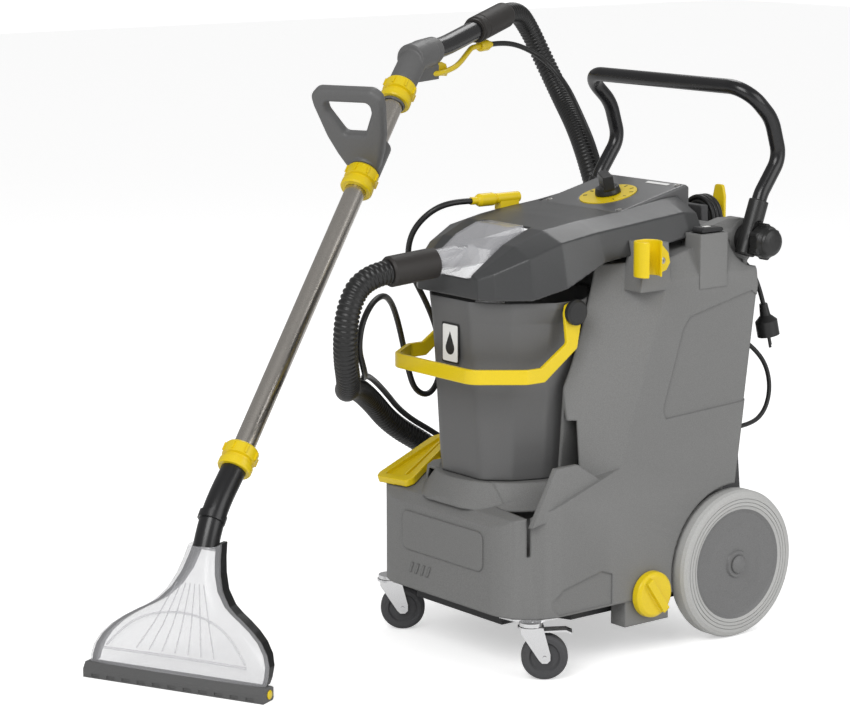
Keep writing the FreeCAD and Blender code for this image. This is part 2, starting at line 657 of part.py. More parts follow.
# ---------------------------------------------------------------- filler cap (elongated) with a plug
cap = body("filler_cap_body")
cap_pts = [(-66, 60), (-44, 96), (-30, 92), (12, -20), (30, -62), (26, -76), (-44, -84), (-52, -72)]
s = sketch(cap, "XY_Plane", cap_pts, [14, 10, 10, 30, 12, 8, 8, 14])
pad(cap, s, 12)
s2 = cap.newObject("Sketcher::SketchObject", "grip_groove")
s2.AttachmentSupport = [(plane(cap, "XY_Plane"), "")]
s2.MapMode = "FlatFace"
s2.AttachmentOffset = Pl(V(0, 0, 12), Rot())
for g in round_edges([(-48, 58), (-38, 72), (10, -56), (-2, -66), (-38, -70)], 6):
    s2.addGeometry(g, False)
doc.recompute()
v0 = cap.Shape.Volume
pocket(cap, s2, 7)
doc.recompute()
print("cap groove", round(v0 - cap.Shape.Volume))
ridge = box("cap_ridge", 5, 118, 7, (0, -60, 5), Rot(V(0, 0, 1), 20))
ridge.Placement = Pl(V(0, -62, 4.5), Rot(V(0, 0, 1), 19))
plug = cyl("cap_plug", 23.6, 22, (0, 0, -21.5))
capf = fuse("filler_cap_group", cap, ridge, plug)
capf.Placement = Pl(V(-140, -202, 286.2), Rot(V(1, 0, 0), 19))
keep("filler_cap", capf)
fc = Part.Face(poly_wire([(a * 1.03, b * 1.03) for a, b in cap_pts], [14, 10, 10, 30, 12, 8, 8, 14])).extrude(V(0, 0, 90))
fc.Placement = Pl(V(-140, -202, 286.2), Rot(V(1, 0, 0), 19)) * Pl(V(0, 0, -0.6), Rot())
main_body.Shape = main_body.Shape.cut(fc)
print("body solids", len(main_body.Shape.Solids), main_body.Shape.isValid(), [(round(q.Volume), [round(c) for c in (q.BoundBox.XMin, q.BoundBox.YMin, q.BoundBox.ZMin, q.BoundBox.XMax, q.BoundBox.YMax, q.BoundBox.ZMax)]) for q in main_body.Shape.Solids])

# ---------------------------------------------------------------- drain cap low on the right side
dc = turned("drain_cap_disc", [(0, -26), (22, -26), (22, 0.3), (37, 0.3), (39, 3), (38, 13), (33, 17), (0, 17)])
dbar = box("drain_cap_bar", 66, 14, 9, (-33, -7, 16))
dcf = fuse("drain_cap_group", dc, dbar)
dcf.Placement = Pl(V(205, -19, 104), Rot(V(0, 0, 1), V(1, 0, 0)) * Rot(V(0, 0, 1), 35))
keep("drain_cap", dcf)

# ================================================================ wheels
keep("rear_axle", cyl("rear_axle_rod", axle_r, 448, (-224, wheel_y, wheel_r), "x"))
for side_, sx in (("right", 1), ("left", -1)):
    r = Rot(V(0, 0, 1), V(sx, 0, 0))
    at = (sx * wheel_in.v, wheel_y, wheel_r)
    w = wheel_w.v
    R = wheel_r.v
    tp = [(hub_r + 2, 4), (R - 10, 0), (R - 3, 3), (R, 9), (R, w - 9), (R - 3, w - 3), (R - 9, w), (R - 14, w), (R - 14, w - 1.6), (R - 15, w - 1.6), (R - 15, w),
          (R - 20, w), (R - 20, w - 1.6), (R - 21, w - 1.6), (R - 21, w), (R - 26, w), (R - 26, w - 1.6), (R - 27, w - 1.6), (R - 27, w), (hub_r + 2, w - 2)]
    t = turned("tyre_%s_ring" % side_, tp, at, r)
    keep("tyre_" + side_, t)
    h = turned("wheel_hub_%s_disc" % side_, [(axle_r + 0.06, 2), (28, 2), (30, 10), (80, 12), (hub_r + 2, 4), (hub_r + 2, w - 2), (hub_r - 4, w - 5), (60, w - 8), (24, w - 5), (22, w - 1), (axle_r + 0.06, w - 1)], at, r)
    keep("wheel_hub_" + side_, h)

# ================================================================ casters
# mounting plates with bearing races, one node
cps = []
for sx in (1, -1):
    X = [(138, -283), (168, -279), (199, -246), (199, -214), (138, -214)]
    p = prism("caster_plate_%s" % ("right" if sx > 0 else "left"), "XY_Plane", [(sx * a, b) for a, b in X], 3, off=belly_z.v - 3.0)
    q = cyl("caster_race", 19, 6.2, (sx * caster_x.v, -caster_y.v, 88.0))
    kp = cyl("caster_kingpin", 5, 14, (sx * caster_x.v, -caster_y.v, 80.5))
    kh = cyl("caster_kingpin_head", 8, 2.5, (sx * caster_x.v, -caster_y.v, 80.2))
    cps += [p, q, kp, kh]
keep("caster_plates", fuse("caster_plate_group", *cps))
ta = math.degrees(math.atan2(0.78, 0.625))
for side_, sx in (("right", 1), ("left", -1)):
    base = Pl(V(sx * caster_x.v, -caster_y.v, 0), Rot(V(0, 0, 1), ta))
    crown = cyl("fork_crown", 21, 3.5, (0, 0, 84))
    crown_hole = cyl("fork_bore", 5.06, 10, (0, 0, 80))
    cheeks = []
    for k, y0 in enumerate((13.2, -16.2)):
        c = prism("fork_cheek_%d" % k, "XZ_Plane", [(-16, 86), (20, 86), (31, 44), (31, 34), (26, 29), (18, 29), (13, 34), (-16, 78)], 3, off=-(y0 + 3))
        cheeks.append(c)
    bridge = box("fork_bridge", 36, 32.4, 3.5, (-16, -16.2, 84))
    pin = cyl("fork_axle", 4, 37, (22, -18.5, 37.5), "y")
    fk_ = cut("caster_fork_%s_block" % side_, fuse("fork_solid", crown, bridge, pin, *cheeks), crown_hole)
    fk_.Placement = base
    keep("caster_fork_" + side_, fk_)
    hw = caster_w.v / 2
    wh = turned("caster_wheel_%s_disc" % side_, [(4.05, -hw), (10, -hw), (12, -hw + 3), (22, -hw + 3.5), (25, -hw), (31, -hw), (36, -hw + 2.5), (caster_r, -hw + 6), (caster_r, hw - 6), (36, hw - 2.5), (31, hw), (25, hw), (22, hw - 3.5), (12, hw - 3), (10, hw), (4.05, hw)],
                (0, 0, 0))
    wh.Placement = base * Pl(V(trail.v, 0, caster_r.v), Rot(V(0, 0, 1), V(0, 1, 0)))
    keep("caster_wheel_" + side_, wh)
ped = fuse("brake_pedal_solid",
           prism("brake_plate", "XZ_Plane", [(14, 81.6), (56, 83.5), (66, 79), (66, 76.5), (56, 80.5), (14, 78.8)], 25, off=-12.5),
           cyl("brake_pivot", 2.6, 25, (14, -12.5, 80.3), "y"))
ped.Placement = Pl(V(caster_x.v, -caster_y.v, 0), Rot(V(0, 0, 1), ta))
keep("caster_brake", ped)

# ================================================================ push handle, folds about its two clamp bosses
HX = handle_x.v
hp = [(HX, 214, 712), (HX, 226, 745), (HX, 268, 803), (HX, 248, 868), (HX, 190, 922), (-HX, 190, 922), (-HX, 248, 868), (-HX, 268, 803), (-HX, 226, 745), (-HX, 214, 712)]
ht = tube("handle_tube", hp, handle_r, radius={1: 60, 2: 42, 3: 70, 4: 42, 5: 42, 6: 70, 7: 42, 8: 60}, inner=handle_r - 2, show="handle")
tees = []
slx = Rot(V(0, 0, 1), V(0, 12, 33))
sdir = slx.multVec(V(0, 0, 1))
for sx in (1, -1):
    top = V(sx * HX, 214, 712) + sdir * 24
    sleeve = Part.makeCylinder(16.5, 94, top - sdir * 94, sdir)
    hub_ = Part.makeCylinder(26, 34, V(sx * 178.6, pivot_y.v, pivot_z.v), V(sx, 0, 0))
    tee = sleeve.fuse(hub_)
    tee = tee.cut(Part.makeCylinder(handle_r.v, 40, V(sx * HX, 214, 712), sdir))
    tee = tee.cut(Part.makeCylinder(7.06, 80, V(sx * 160, pivot_y.v, pivot_z.v), V(sx, 0, 0)))
    tee = tee.cut(Part.makeCylinder(33, 10, V(sx * 212.8, pivot_y.v, pivot_z.v), V(sx, 0, 0)))
    print("tee", len(tee.Solids), tee.isValid(), round(tee.Volume))
    tees.append(tee)
keep("push_handle", ht)
keep("handle_tees", feat("handle_tee_pair", Part.makeCompound(tees)))
for side_, sx in (("right", 1), ("left", -1)):
    kp_ = turned("clamp_knob_%s_turned" % side_, [(0, -6), (6.7, -6), (6.7, 0.4), (22, 0.4), (27, 4), (27, 20), (24, 26), (0, 26)],
                 (sx * 213.0, pivot_y, pivot_z), Rot(V(0, 0, 1), V(sx, 0, 0)))
    lobes = [cyl("knob_lobe_%d" % k, 6, 17, (24.5 * math.cos(k * math.pi / 3), 24.5 * math.sin(k * math.pi / 3), 3)) for k in range(6)]
    lg = fuse("knob_lobes", *lobes)
    lg.Placement = Pl(V(sx * 213.0, pivot_y.v, pivot_z.v), Rot(V(0, 0, 1), V(sx, 0, 0)))
    cp_ = turned("knob_cap_%s_disc" % side_, [(0, 26), (23, 26), (23.5, 28), (21, 32), (14, 35), (0, 36)],
                 (sx * 213.0, pivot_y, pivot_z), Rot(V(0, 0, 1), V(sx, 0, 0)))
    keep("clamp_knob_" + side_, fuse("clamp_knob_%s_group" % side_, kp_, lg, cp_))

# ================================================================ recovery bucket
BY = -bucket_y.v


def bucket_outline(r, flat, ear, z):
    """Twelve-sided outline: flat front, round back, wider ears under the bail pivots."""
    return [(-flat, -r * 1.0), (flat, -r * 1.0), (r * 0.82, -r * 0.66), (r + ear, -r * 0.2), (r + ear, r * 0.22), (r * 0.80, r * 0.66), (flat, r * 0.98), (-flat, r * 0.98), (-r * 0.80, r * 0.66), (-r - ear, r * 0.22), (-r - ear, -r * 0.2), (-r * 0.82, -r * 0.66)]


def bucket_solid(i, z0):
    secs = []
    for z, r, flat, ear, rad in ((299, 106, 52, 0, 26), (330, 109, 52, 0, 26), (470, 119, 50, 0, 24), (560, 127, 48, 3, 18), (586, 131, 48, 14, 12), (596, 131, 48, 16, 12)):
        zz = z0 if z == 299 else (z + 4 if (z == 596 and i > 0) else z)
        secs.append((bucket_outline(r - i, flat, ear, z), max(2, rad - i), Pl(V(0, BY, zz), Rot())))
    return loft("bucket", secs, ruled=True)


bk = bucket_solid(0, bucket_z0.v + 1.0).cut(bucket_solid(3.2, bucket_z0.v + 5))
for sx in (1, -1):
    trun = Part.makeCylinder(9, 27, V(sx * 138, BY, 580), V(sx, 0, 0))
    bk = bk.fuse(trun)
keep("recovery_bucket", feat("recovery_bucket_shell", bk))
print("bucket", len(bk.Solids), bk.isValid(), round(bk.Volume / 1000))
# bail: flat yellow strap hanging round the front
bz = 580
arm_pts = [(-16, 12), (0, 17), (16, 12), (19, -2), (8, -60), (-60, -108), (-170, -108), (-170, -84), (-70, -84), (-14, -50), (-19, -2)]
bl = []
for sx in (1, -1):
    w = poly_wire([(BY + a, bz + b) for a, b in arm_pts[:6]] + [(BY - 66, bz - 108), (BY - 66, bz - 84)] + [(BY + a, bz + b) for a, b in arm_pts[9:]], 5)
    w.Placement = Pl(V(sx * 149.6 if sx > 0 else -149.6 - 7, 0, 0), YZ)
    bl.append(Part.Face(w).extrude(V(7, 0, 0)))
# front loop in plan: straight arms then a rounded front
xo, xi = 156.6, 149.6
yo = BY - 66
plan_o = [(-xo, yo + 2), (-xo, BY - 96), (-100, BY - 168), (100, BY - 168), (xo, BY - 96), (xo, yo + 2), (xi, yo + 2), (xi, BY - 93), (96, BY - 160), (-96, BY - 160), (-xi, BY - 93), (-xi, yo + 2)]
w = poly_wire(plan_o, [0, 20, 34, 34, 20, 0, 0, 15, 28, 28, 15, 0])
w.Placement = Pl(V(0, 0, bz - 108), Rot())
bl.append(Part.Face(w).extrude(V(0, 0, 24)))
strap = bl[0].fuse(bl[1]).fuse(bl[2])
for sx in (1, -1):
    strap = strap.cut(Part.makeCylinder(9.06, 60, V(sx * 130, BY, bz), V(sx, 0, 0)))
keep("bucket_bail", feat("bucket_bail_strap", strap.removeSplitter()))
print("bail", len(strap.Solids), strap.isValid())
caps_ = [turned("bail_cap_%d" % k, [(0, 0), (20, 0), (21, 2), (21, 8), (17, 11), (0, 11)], (sx * 157.0, BY, bz), Rot(V(0, 0, 1), V(sx, 0, 0)))
         for k, sx in enumerate((1, -1))]
caps_cut = [cut("bail_cap_seat_%d" % k, c, cyl("bail_cap_bore_%d" % k, 9, 9, ((157 if k == 0 else -166), BY, bz), "x")) for k, c in enumerate(caps_)]
keep("bail_caps", fuse("bail_cap_pair", *caps_cut))
# float that shuts the suction when the bucket is full
fl = fuse("float_block", turned("float_ball", [(0, 0), (16, 2), (24, 14), (24, 40), (16, 50), (0, 52)], (0, -190, 545)), cyl("float_stem", 4, 61, (0, -190, 596)))
keep("float_valve", fl)

# ================================================================ cord storage and power cord
HC = 32.0
hook_post = cyl("hook_post", 11, 56, (0, 0, 0), "y")
hook_lip = prism("hook_lip", "XZ_Plane", [(-14, -11), (14, -11), (14, 30), (9, 50), (-9, 50), (-14, 30)], 6, radii=5, off=-61)
hk = fuse("hook_group", hook_post, hook_lip)
hk.Placement = Pl(V(HC, 236.4, 690), Rot())
keep("cord_hook_upper", hk)
hook2 = fuse("hook_low_group", cyl("hook_low_post", 11, 56, (HC, 214.2, 449.6), "y"),
             prism("hook_low_lip", "XZ_Plane", [(HC - 14, 460.6), (HC + 14, 460.6), (HC + 14, 424.6), (HC + 9, 409.6), (HC - 9, 409.6), (HC - 14, 424.6)], 6, radii=5, off=-275))
keep("cord_hook_lower", hook2)
# wound cord: a closed bundle round both hooks
ZT, ZB, RW = 690.0, 444.0, 34.0
b0 = 17.0
path = [(HC - RW, 566), (HC - RW, ZT - 14), (HC, ZT + 34), (HC + RW, ZT - 14), (HC + RW, 566)]


def stadium(w, z0, z1, r):
    return round_edges([(HC - w, z0), (HC + w, z0), (HC + w, z1), (HC - w, z1)], r)


so_ = Part.Face(Part.Wire([g.toShape() for g in stadium(44, 407, 729, 40)]))
si_ = Part.Face(Part.Wire([g.toShape() for g in stadium(15, 438, 702, 14)]))
ring_ = so_.cut(si_)
ring_.Placement = Pl(V(0, 241.5, 0), Rot(V(1, 0, 0), 90))
bundle = ring_.extrude(V(0, 26, 0))
keep("power_cord_coil", feat("power_cord_bundle", bundle))
print("bundle", bundle.isValid(), bundle.BoundBox)
# gland low on the rear cover, lead up to the bundle
gl = turned("cord_gland_boot", [(4, 0), (13, 0), (13, 6), (8, 9), (6.2, 46), (4, 46)], (112, 219, 330), Rot(V(0, 0, 1), V(0, 1, 0)))
keep("cord_gland", gl)
lead = [(112, 265, 330), (112, 304, 330), (110, 338, 350), (103, 356, 388), (94, 352, 430), (82, 326, 463), (70, 288, 476), (62, 254, 478)]
ld = tube("power_cord_lead", lead, cord_r, show="power lead")
keep("power_cord_lead", ld)
tail = [(66, 255, 636), (104, 257, 636), (138, 262, 621), (157, 270, 588), (160, 277, 550)]
tl = tube("power_cord_tail", tail, cord_r, show="power tail")
keep("power_cord_tail", tl)
TD = (V(*tail[-1]) - V(*tail[-2])).normalize()
pl_ = fuse("plug_block", turned("plug_grip", [(0, 0), (7, 0), (9, 20), (19, 30), (19, 56), (0, 56)]),
           cyl("plug_pin_a", 2.4, 19, (-9.5, 0, 56)), cyl("plug_pin_b", 2.4, 19, (9.5, 0, 56)))
pl_.Placement = Pl(V(*tail[-1]), Rot(V(0, 0, 1), TD))
keep("power_plug", pl_)

# ================================================================ floor tool and wand, in their own upright plane
wand_angle = math.degrees(math.atan2(0.425, 0.905))
WP = Pl(V(-126, -726, 0), Rot(V(0, 0, 1), wand_angle))


def wand(name, o):
    o.Placement = WP.multiply(o.Placement)
    return keep(name, o)


L2 = lip_w.v / 2
lip_o = prism("nozzle_lip_bar", "YZ_Plane", [(-17, 0), (12, 0), (15, 3), (15, 20), (8, 24), (-10, 24), (-17, 14)], lip_w, mid=True)
lip_i = box("nozzle_lip_slot", lip_w - 14, 9, 40, (-(L2 - 7), -4.5, -5))
notches = [box("lip_notch_%d" % k, 15, 3, 5, (-L2 + 16 + k * 28.6, -18.5, 2.5)) for k in range(11)]
wand("nozzle_lip", cut("nozzle_lip_block", lip_o, lip_i, *notches))


def fan(secs):
    ws = [Part.makePolygon([V(*q) for q in s + s[:1]]) for s in secs]
    return Part.makeLoft(ws, True, True)


def fan_secs(i, front, back):
    """Sections up the leaning fan: half width, centre y, z, thickness to the front and back."""
    out = []
    for hw, yc, z, tf, tb_ in ((163, 0, 24.1, 9, 8), (150, 8, 44, 14, 13), (96, 38, 108, 23, 24), (44, 70, 170, 24, 25), (24, 92, 214, 22, 22)):
        f = -(tf - i) if front else 0.0
        b = (tb_ - i) if back else 0.0
        hw_ = hw - i
        out.append([(-hw_, yc + f * 0.45, z), (-hw_ * 0.8, yc + f, z), (hw_ * 0.8, yc + f, z), (hw_, yc + f * 0.45, z), (hw_, yc + b * 0.6, z), (hw_ * 0.8, yc + b, z), (-hw_ * 0.8, yc + b, z), (-hw_, yc + b * 0.6, z)])
    return out


full_ = fan(fan_secs(0, True, True))
hollow = fan(fan_secs(2.6, True, True))
ch = fan([[(x * 1.0, y + (-2 if k == 0 else 0), z + (-3 if k == 0 else (3 if k == 4 else 0))) for x, y, z in s] for k, s in enumerate(fan_secs(2.6, True, True))])
shell_f = full_.cut(ch)
# the window is the front of the fan between two oblique planes, the back shell the rest
splitter = Part.makePolygon([V(-148, -60, 30), V(148, -60, 30), V(84, -60, 112), V(36, -60, 172), V(22, -60, 196), V(-22, -60, 196), V(-36, -60, 172), V(-84, -60, 112), V(-148, -60, 30)])
sp_f = Part.Face(splitter).extrude(V(0, 62, 0))
lean = Part.makeBox(400, 200, 400, V(-200, 0, -200))
lean.Placement = Pl(V(0, 2, 24), Rot(V(1, 0, 0), -23.8))
window_region = sp_f
for_y = Part.Face(splitter).extrude(V(0, 200, 0)).cut(lean)
win = shell_f.common(for_y)
back_shell = shell_f.cut(for_y)
wand("nozzle_window", feat("nozzle_window_shell", win))
print("nozzle", len(win.Solids), win.isValid(), len(back_shell.Solids), back_shell.isValid(), round(win.Volume), round(back_shell.Volume))

# wand line
WD = V(0, 0.7193, 0.6947)
W0 = V(0, 193, 326)
TRot = Rot(V(0, 0, 1), WD)


def along(s_):
    return tuple(W0 + WD * s_)


# curved neck between the fan and the first union
neck_path = [(0, 89, 206), (0, 106, 240), (0, 136, 277), (0, 193 - 0.7193 * 16, 326 - 0.6947 * 16)]
nk = tube("nozzle_neck_tube", neck_path, 21, radius={1: 70, 2: 110}, inner=17.6, show="neck")
spigot_ = Part.makeCylinder(21, 40, W0 - WD * 16, WD).cut(Part.makeCylinder(tube_r.v, 44, W0 - WD * 18, WD))
nk_shape = back_shell.fuse(nk.Shape.cut(full_)).fuse(spigot_)
doc.removeObject(nk.Name)
wand("nozzle_shell", feat("nozzle_back_shell", nk_shape))
print("shell with neck", len(nk_shape.Solids), nk_shape.isValid())


def union(name, s0, r_in):
    """Grooved union nut, turning on a collar."""
    g = [(r_in, 0), (27, 0), (29, 3), (29, 12), (25, 14), (25, 20), (29, 22), (29, 40), (27, 43), (r_in, 43)]
    t = turned(name + "_ring", g)
    ribs = [box(name + "_rib_%d" % k, 4, 3, 14, (27.5, -1.5, 24), None) for k in range(8)]
    for k, r_ in enumerate(ribs):
        r_.Placement = Pl(V(0, 0, 0), Rot(V(0, 0, 1), k * 45)) * r_.Placement
    u = fuse(name + "_group", t, *ribs)
    u.Placement = Pl(V(*along(s0)), TRot)
    return wand(name, u)


def collar(name, s0, r_out, r_in, length):
    c = cut(name, cyl(name + "_outer", r_out, length), cyl(name + "_bore", r_in, length + 4, (0, 0, -2)))
    c.Placement = Pl(V(*along(s0)), TRot)
    return c


union("union_lower", -15, 21.06)
tb_o = cyl("suction_tube_outer", tube_r, 814)
tb_i = cyl("suction_tube_bore", tube_r - tube_wall, 822, (0, 0, -4))
st = cut("suction_tube_pipe", tb_o, tb_i)
st.Placement = Pl(V(*along(-14)), TRot)
wand("suction_tube", st)
# sliding D handle: sleeve, fork and cross grip
dsl = cyl("d_handle_sleeve", 29, 62)
d_out = [(-30, -16), (30, -16), (44, 14), (56, 48), (68, 110), (68, 130), (54, 143), (-54, 143), (-68, 130), (-68, 110), (-56, 48), (-44, 14)]
d_in = [(-20, 54), (20, 54), (43, 98), (43, 117), (-43, 117), (-43, 98)]
loop = Part.Face(poly_wire(d_out, [6, 6, 40, 60, 60, 16, 16, 16, 16, 60, 60, 40])).extrude(V(0, 0, 24))
hole = Part.Face(poly_wire(d_in, [10, 10, 18, 9, 9, 18])).extrude(V(0, 0, 40))
hole.translate(V(0, 0, -8))
loop = loop.cut(hole)
for r_try in (8, 6, 4):
    try:
        got = loop.makeFillet(r_try, [e for e in loop.Edges if abs(e.BoundBox.ZLength) < 0.01])
        if got.isValid() and len(got.Solids) == 1:
            loop = got
            print("loop fillet", r_try)
            break
    except Exception:
        print("loop fillet failed", r_try)
lean = V(0, -0.952, 0.307)
flat = V(0, 0.307, 0.952)
loop.translate(V(0, 0, -12))
loop.Placement = Pl(V(0, -18, 14), Rot(V(1, 0, 0), lean, flat, "XYZ")) * loop.Placement
dhf = fuse("d_handle_group", dsl, feat("d_handle_loop", loop))
dcut = cut("d_handle_block", dhf, cyl("d_handle_bore", tube_r.v + 0.35, 240, (0, 0, -60)))
dcut.Placement = Pl(V(*along(618)), TRot)
wand("d_handle", dcut)
union("union_middle", 574, tube_r.v + 0.5)
union("union_upper", 775, 21.06)
uc = collar("grip_spigot", 770, 21, tube_r, 54)
# grip head: swept elbow that turns the tube into the level grip
head_route = [along(820), (0, 838, 944), (0, 905, 948)]
gh = tube("grip_head_elbow", head_route, 25, radius={1: 60}, show="head")
hump = cyl("grip_head_hump", 27, 66, (0, 0, 0))
hump.Placement = Pl(V(0, 815, 938), Rot(V(0, 0, 1), V(0, 0.985, 0.10)))
valve = box("grip_valve_case", 26, 84, 26, (-13, 822, 896))
gbore = tube("grip_head_bore", [tuple(W0 + WD * 816)] + head_route[1:2] + [(0, 907, 948.2)], 16, radius={1: 60})
gseat = cyl("grip_tube_seat", 18.5, 40, (0, 0, 0))
gdir0 = (V(0, 960, 953.5) - V(0, 882, 945.5)).normalize()
gseat.Placement = Pl(V(0, 882, 945.5), Rot(V(0, 0, 1), gdir0))
gb = cut("grip_body_block", fuse("grip_body_group", gh, hump, valve), gbore, gseat)
wand("grip_body", fuse("grip_body_pair", gb, uc))
gt = tube("grip_tube_pipe", [(0, 882, 945.5), (0, 960, 953.5), (0, 1075, 973)], 18.5, radius=500, inner=15.5, show="grip")
wand("grip_tube", gt)
trig = prism("trigger_lever", "YZ_Plane", [(908, 919), (914, 925.5), (926, 926), (944, 921), (952, 905), (946, 898), (934, 903), (920, 905), (910, 908)], 16, radii=2.5, mid=True)
wand("trigger", trig)
GE = V(0, 1075, 973)
gd = (V(0, 1075, 973) - V(0, 960, 953.5)).normalize()
gc = turned("grip_hose_cuff_ring", [(16, -34), (22.5, -34), (22.5, -26), (25, -24), (25, -10), (23, -8), (25, -6), (25, 96), (22, 104), (16, 104)])
gcc = cut("grip_hose_cuff_block", gc, cyl("grip_cuff_seat", 18.5, 40, (0, 0, -40)))
gcc.Placement = Pl(V(0, 1075, 973) + gd * 34, Rot(V(0, 0, 1), gd))
wand("grip_hose_cuff", gcc)
GC_END = WP.multVec(V(0, 1075, 973) + gd * 138)
GD = WP.Rotation.multVec(gd)
print("grip cuff end", [round(c, 1) for c in GC_END], "dir", [round(c, 3) for c in GD])

# ================================================================ suction hose and spray hose
# suction hose: from the machine cuff round to the far side, down to the floor and up to the grip
suction_route = [tuple(CUFF_END), (-11, -440, 644), (-11, -472, 595), (-23, -468, 523), (-69, -425, 457), (-152, -372, 432),
                 (-223, -303, 420), (-278, -230, 382), (-310, -159, 321), (-311, -73, 270), (-299, 3, 207), (-288, 72, 135),
                 (-290, 146, 68), (-314, 233, 26), (-356, 323, 26), (-400, 397, 76), (-425, 432, 165), (-423, 437, 265),
                 (-401, 428, 363), (-383, 410, 459), (-379, 401, 559), (-404, 404, 656), (-461, 424, 735), (-538, 462, 787),
                 (-623, 500, 832), (-674, 497, 902), (-684, 466, 966), (-662, 416, 1003), tuple(GC_END)]
keep("suction_hose", tube("suction_hose_tube", suction_route, hose_r, show="suction hose"))
# spray hose: clipped along the inside of the suction hose, with a free arc at each end
spray_route = [(-112, -140, 731), (-113, -180, 733), (-128, -215, 718), (-154, -232, 684), (-178, -224, 640), (-193, -198, 596),
               (-200, -166, 552), (-203, -142, 505), (-202, -132, 455), (-197, -142, 412), (-188, -172, 392), (-182, -206, 408),
               (-180, -222, 450), (-176, -236, 498), (-157, -262, 543), (-123, -300, 578), (-84, -345, 598), (-52, -392, 594),
               (-34, -426, 566), (-32, -434, 525), (-50, -411, 490), (-86, -380, 465), (-142, -344, 453), (-209, -282, 438),
               (-264, -211, 398), (-296, -143, 339), (-297, -60, 290), (-284, 18, 226), (-273, 88, 153), (-275, 161, 86),
               (-297, 244, 46), (-336, 328, 44), (-375, 397, 88), (-397, 430, 169), (-395, 435, 262), (-374, 423, 357),
               (-355, 408, 455), (-351, 399, 562), (-379, 403, 668), (-441, 426, 755), (-518, 456, 812), (-580, 474, 862),
               (-622, 458, 906), (-638, 415, 933), (-634, 362, 944), (-615, 313, 943)]
keep("spray_hose", tube("spray_hose_tube", spray_route, spray_r, show="spray hose"))
# quick couplings: one on the cover's left, one under the grip
mc = fuse("machine_coupling_block",
          turned("machine_coupling_sleeve", [(0, 0), (8, 0), (8, 4), (11, 6), (11, 34), (9, 38), (6.5, 40), (6.5, 52), (0, 52)], (-112, -88, 731), Rot(V(0, 0, 1), V(0, -1, 0))),
          turned("machine_outlet_pipe", [(0, 0), (9, 0), (9, 50), (0, 50)], (-112, -38, 731), Rot(V(0, 0, 1), V(0, -1, 0))))
mfoot = box("machine_coupling_foot", 16, 40, 20, (-120, -82, 712))
keep("spray_coupling_machine", fuse("machine_coupling_group", mc, mfoot))
gdir = (V(-615, 313, 943) - V(-634, 362, 944)).normalize()
gcp = turned("grip_coupling_sleeve", [(0, 0), (6.5, 0), (6.5, 10), (9, 12), (10.5, 14), (10.5, 38), (8, 42), (0, 42)], (-615, 313, 943), Rot(V(0, 0, 1), gdir))
gpipe = tube("grip_spray_pipe", [tuple(V(-615, 313, 943) + gdir * 40), tuple(V(-615, 313, 943) + gdir * 70), tuple(WP.multVec(V(10, 1000, 921))), tuple(WP.multVec(V(17, 962, 914))), tuple(WP.multVec(V(17, 924, 909))), tuple(WP.multVec(V(16, 902, 907))), tuple(WP.multVec(V(7, 880, 907)))], 5, show="grip pipe")
keep("spray_coupling_grip", fuse("grip_coupling_group", gcp, gpipe))

# ================================================================ finish
doc.recompute()
CORD = ["suction_hose", "spray_hose", "power_cord_coil", "power_cord_lead", "power_cord_tail", "power_plug"]
lo, hi = [1e9] * 3, [-1e9] * 3
for name, o in parts.items():
    if name in CORD:
        continue
    if o.Shape.isNull() or not o.Shape.Solids:
        print("EMPTY", name, o.State)
        continue
    bb = o.Shape.optimalBoundingBox(True, False) if hasattr(o.Shape, "optimalBoundingBox") else o.Shape.BoundBox
    for k, (a, b) in enumerate(((bb.XMin, bb.XMax), (bb.YMin, bb.YMax), (bb.ZMin, bb.ZMax))):
        lo[k], hi[k] = min(lo[k], a), max(hi[k], b)
print("box without cords", [round(c, 2) for c in lo], [round(c, 2) for c in hi])
sx_, sy_ = round(-(lo[0] + hi[0]) / 2, 2), round(-(lo[1] + hi[1]) / 2, 2)
for alias, value in (("frame_shift_x", sx_), ("frame_shift_y", sy_)):
    for r in range(1, rows[0] + 1):
        if sheet.get("A%d" % r) == alias:
            sheet.set("B%d" % r, str(value))
doc.recompute()
shift = Pl(V(sx_, sy_, 0), Rot())
print("shift", sx_, sy_)
for name, o in parts.items():
    o.Placement = shift.multiply(o.Placement)
doc.recompute()
bad = [(o.Name, o.State) for o in doc.Objects if "Invalid" in o.State or "Error" in o.State]
if bad:
    raise SystemExit("failed objects: %s" % bad)
assert len(parts) <= 60, len(parts)
for name, o in parts.items():
    if o.Shape.isNull() or not o.Shape.isValid() or not o.Shape.Solids:
        raise SystemExit("bad shape: " + name)
os.makedirs("parts", exist_ok=True)
for name, o in parts.items():
    o.Shape.exportStep("parts/%s.step" % name)
print(len(parts), "parts written")
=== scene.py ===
import json
import math
import random
import bmesh
import bpy
from mathutils import Matrix, Vector


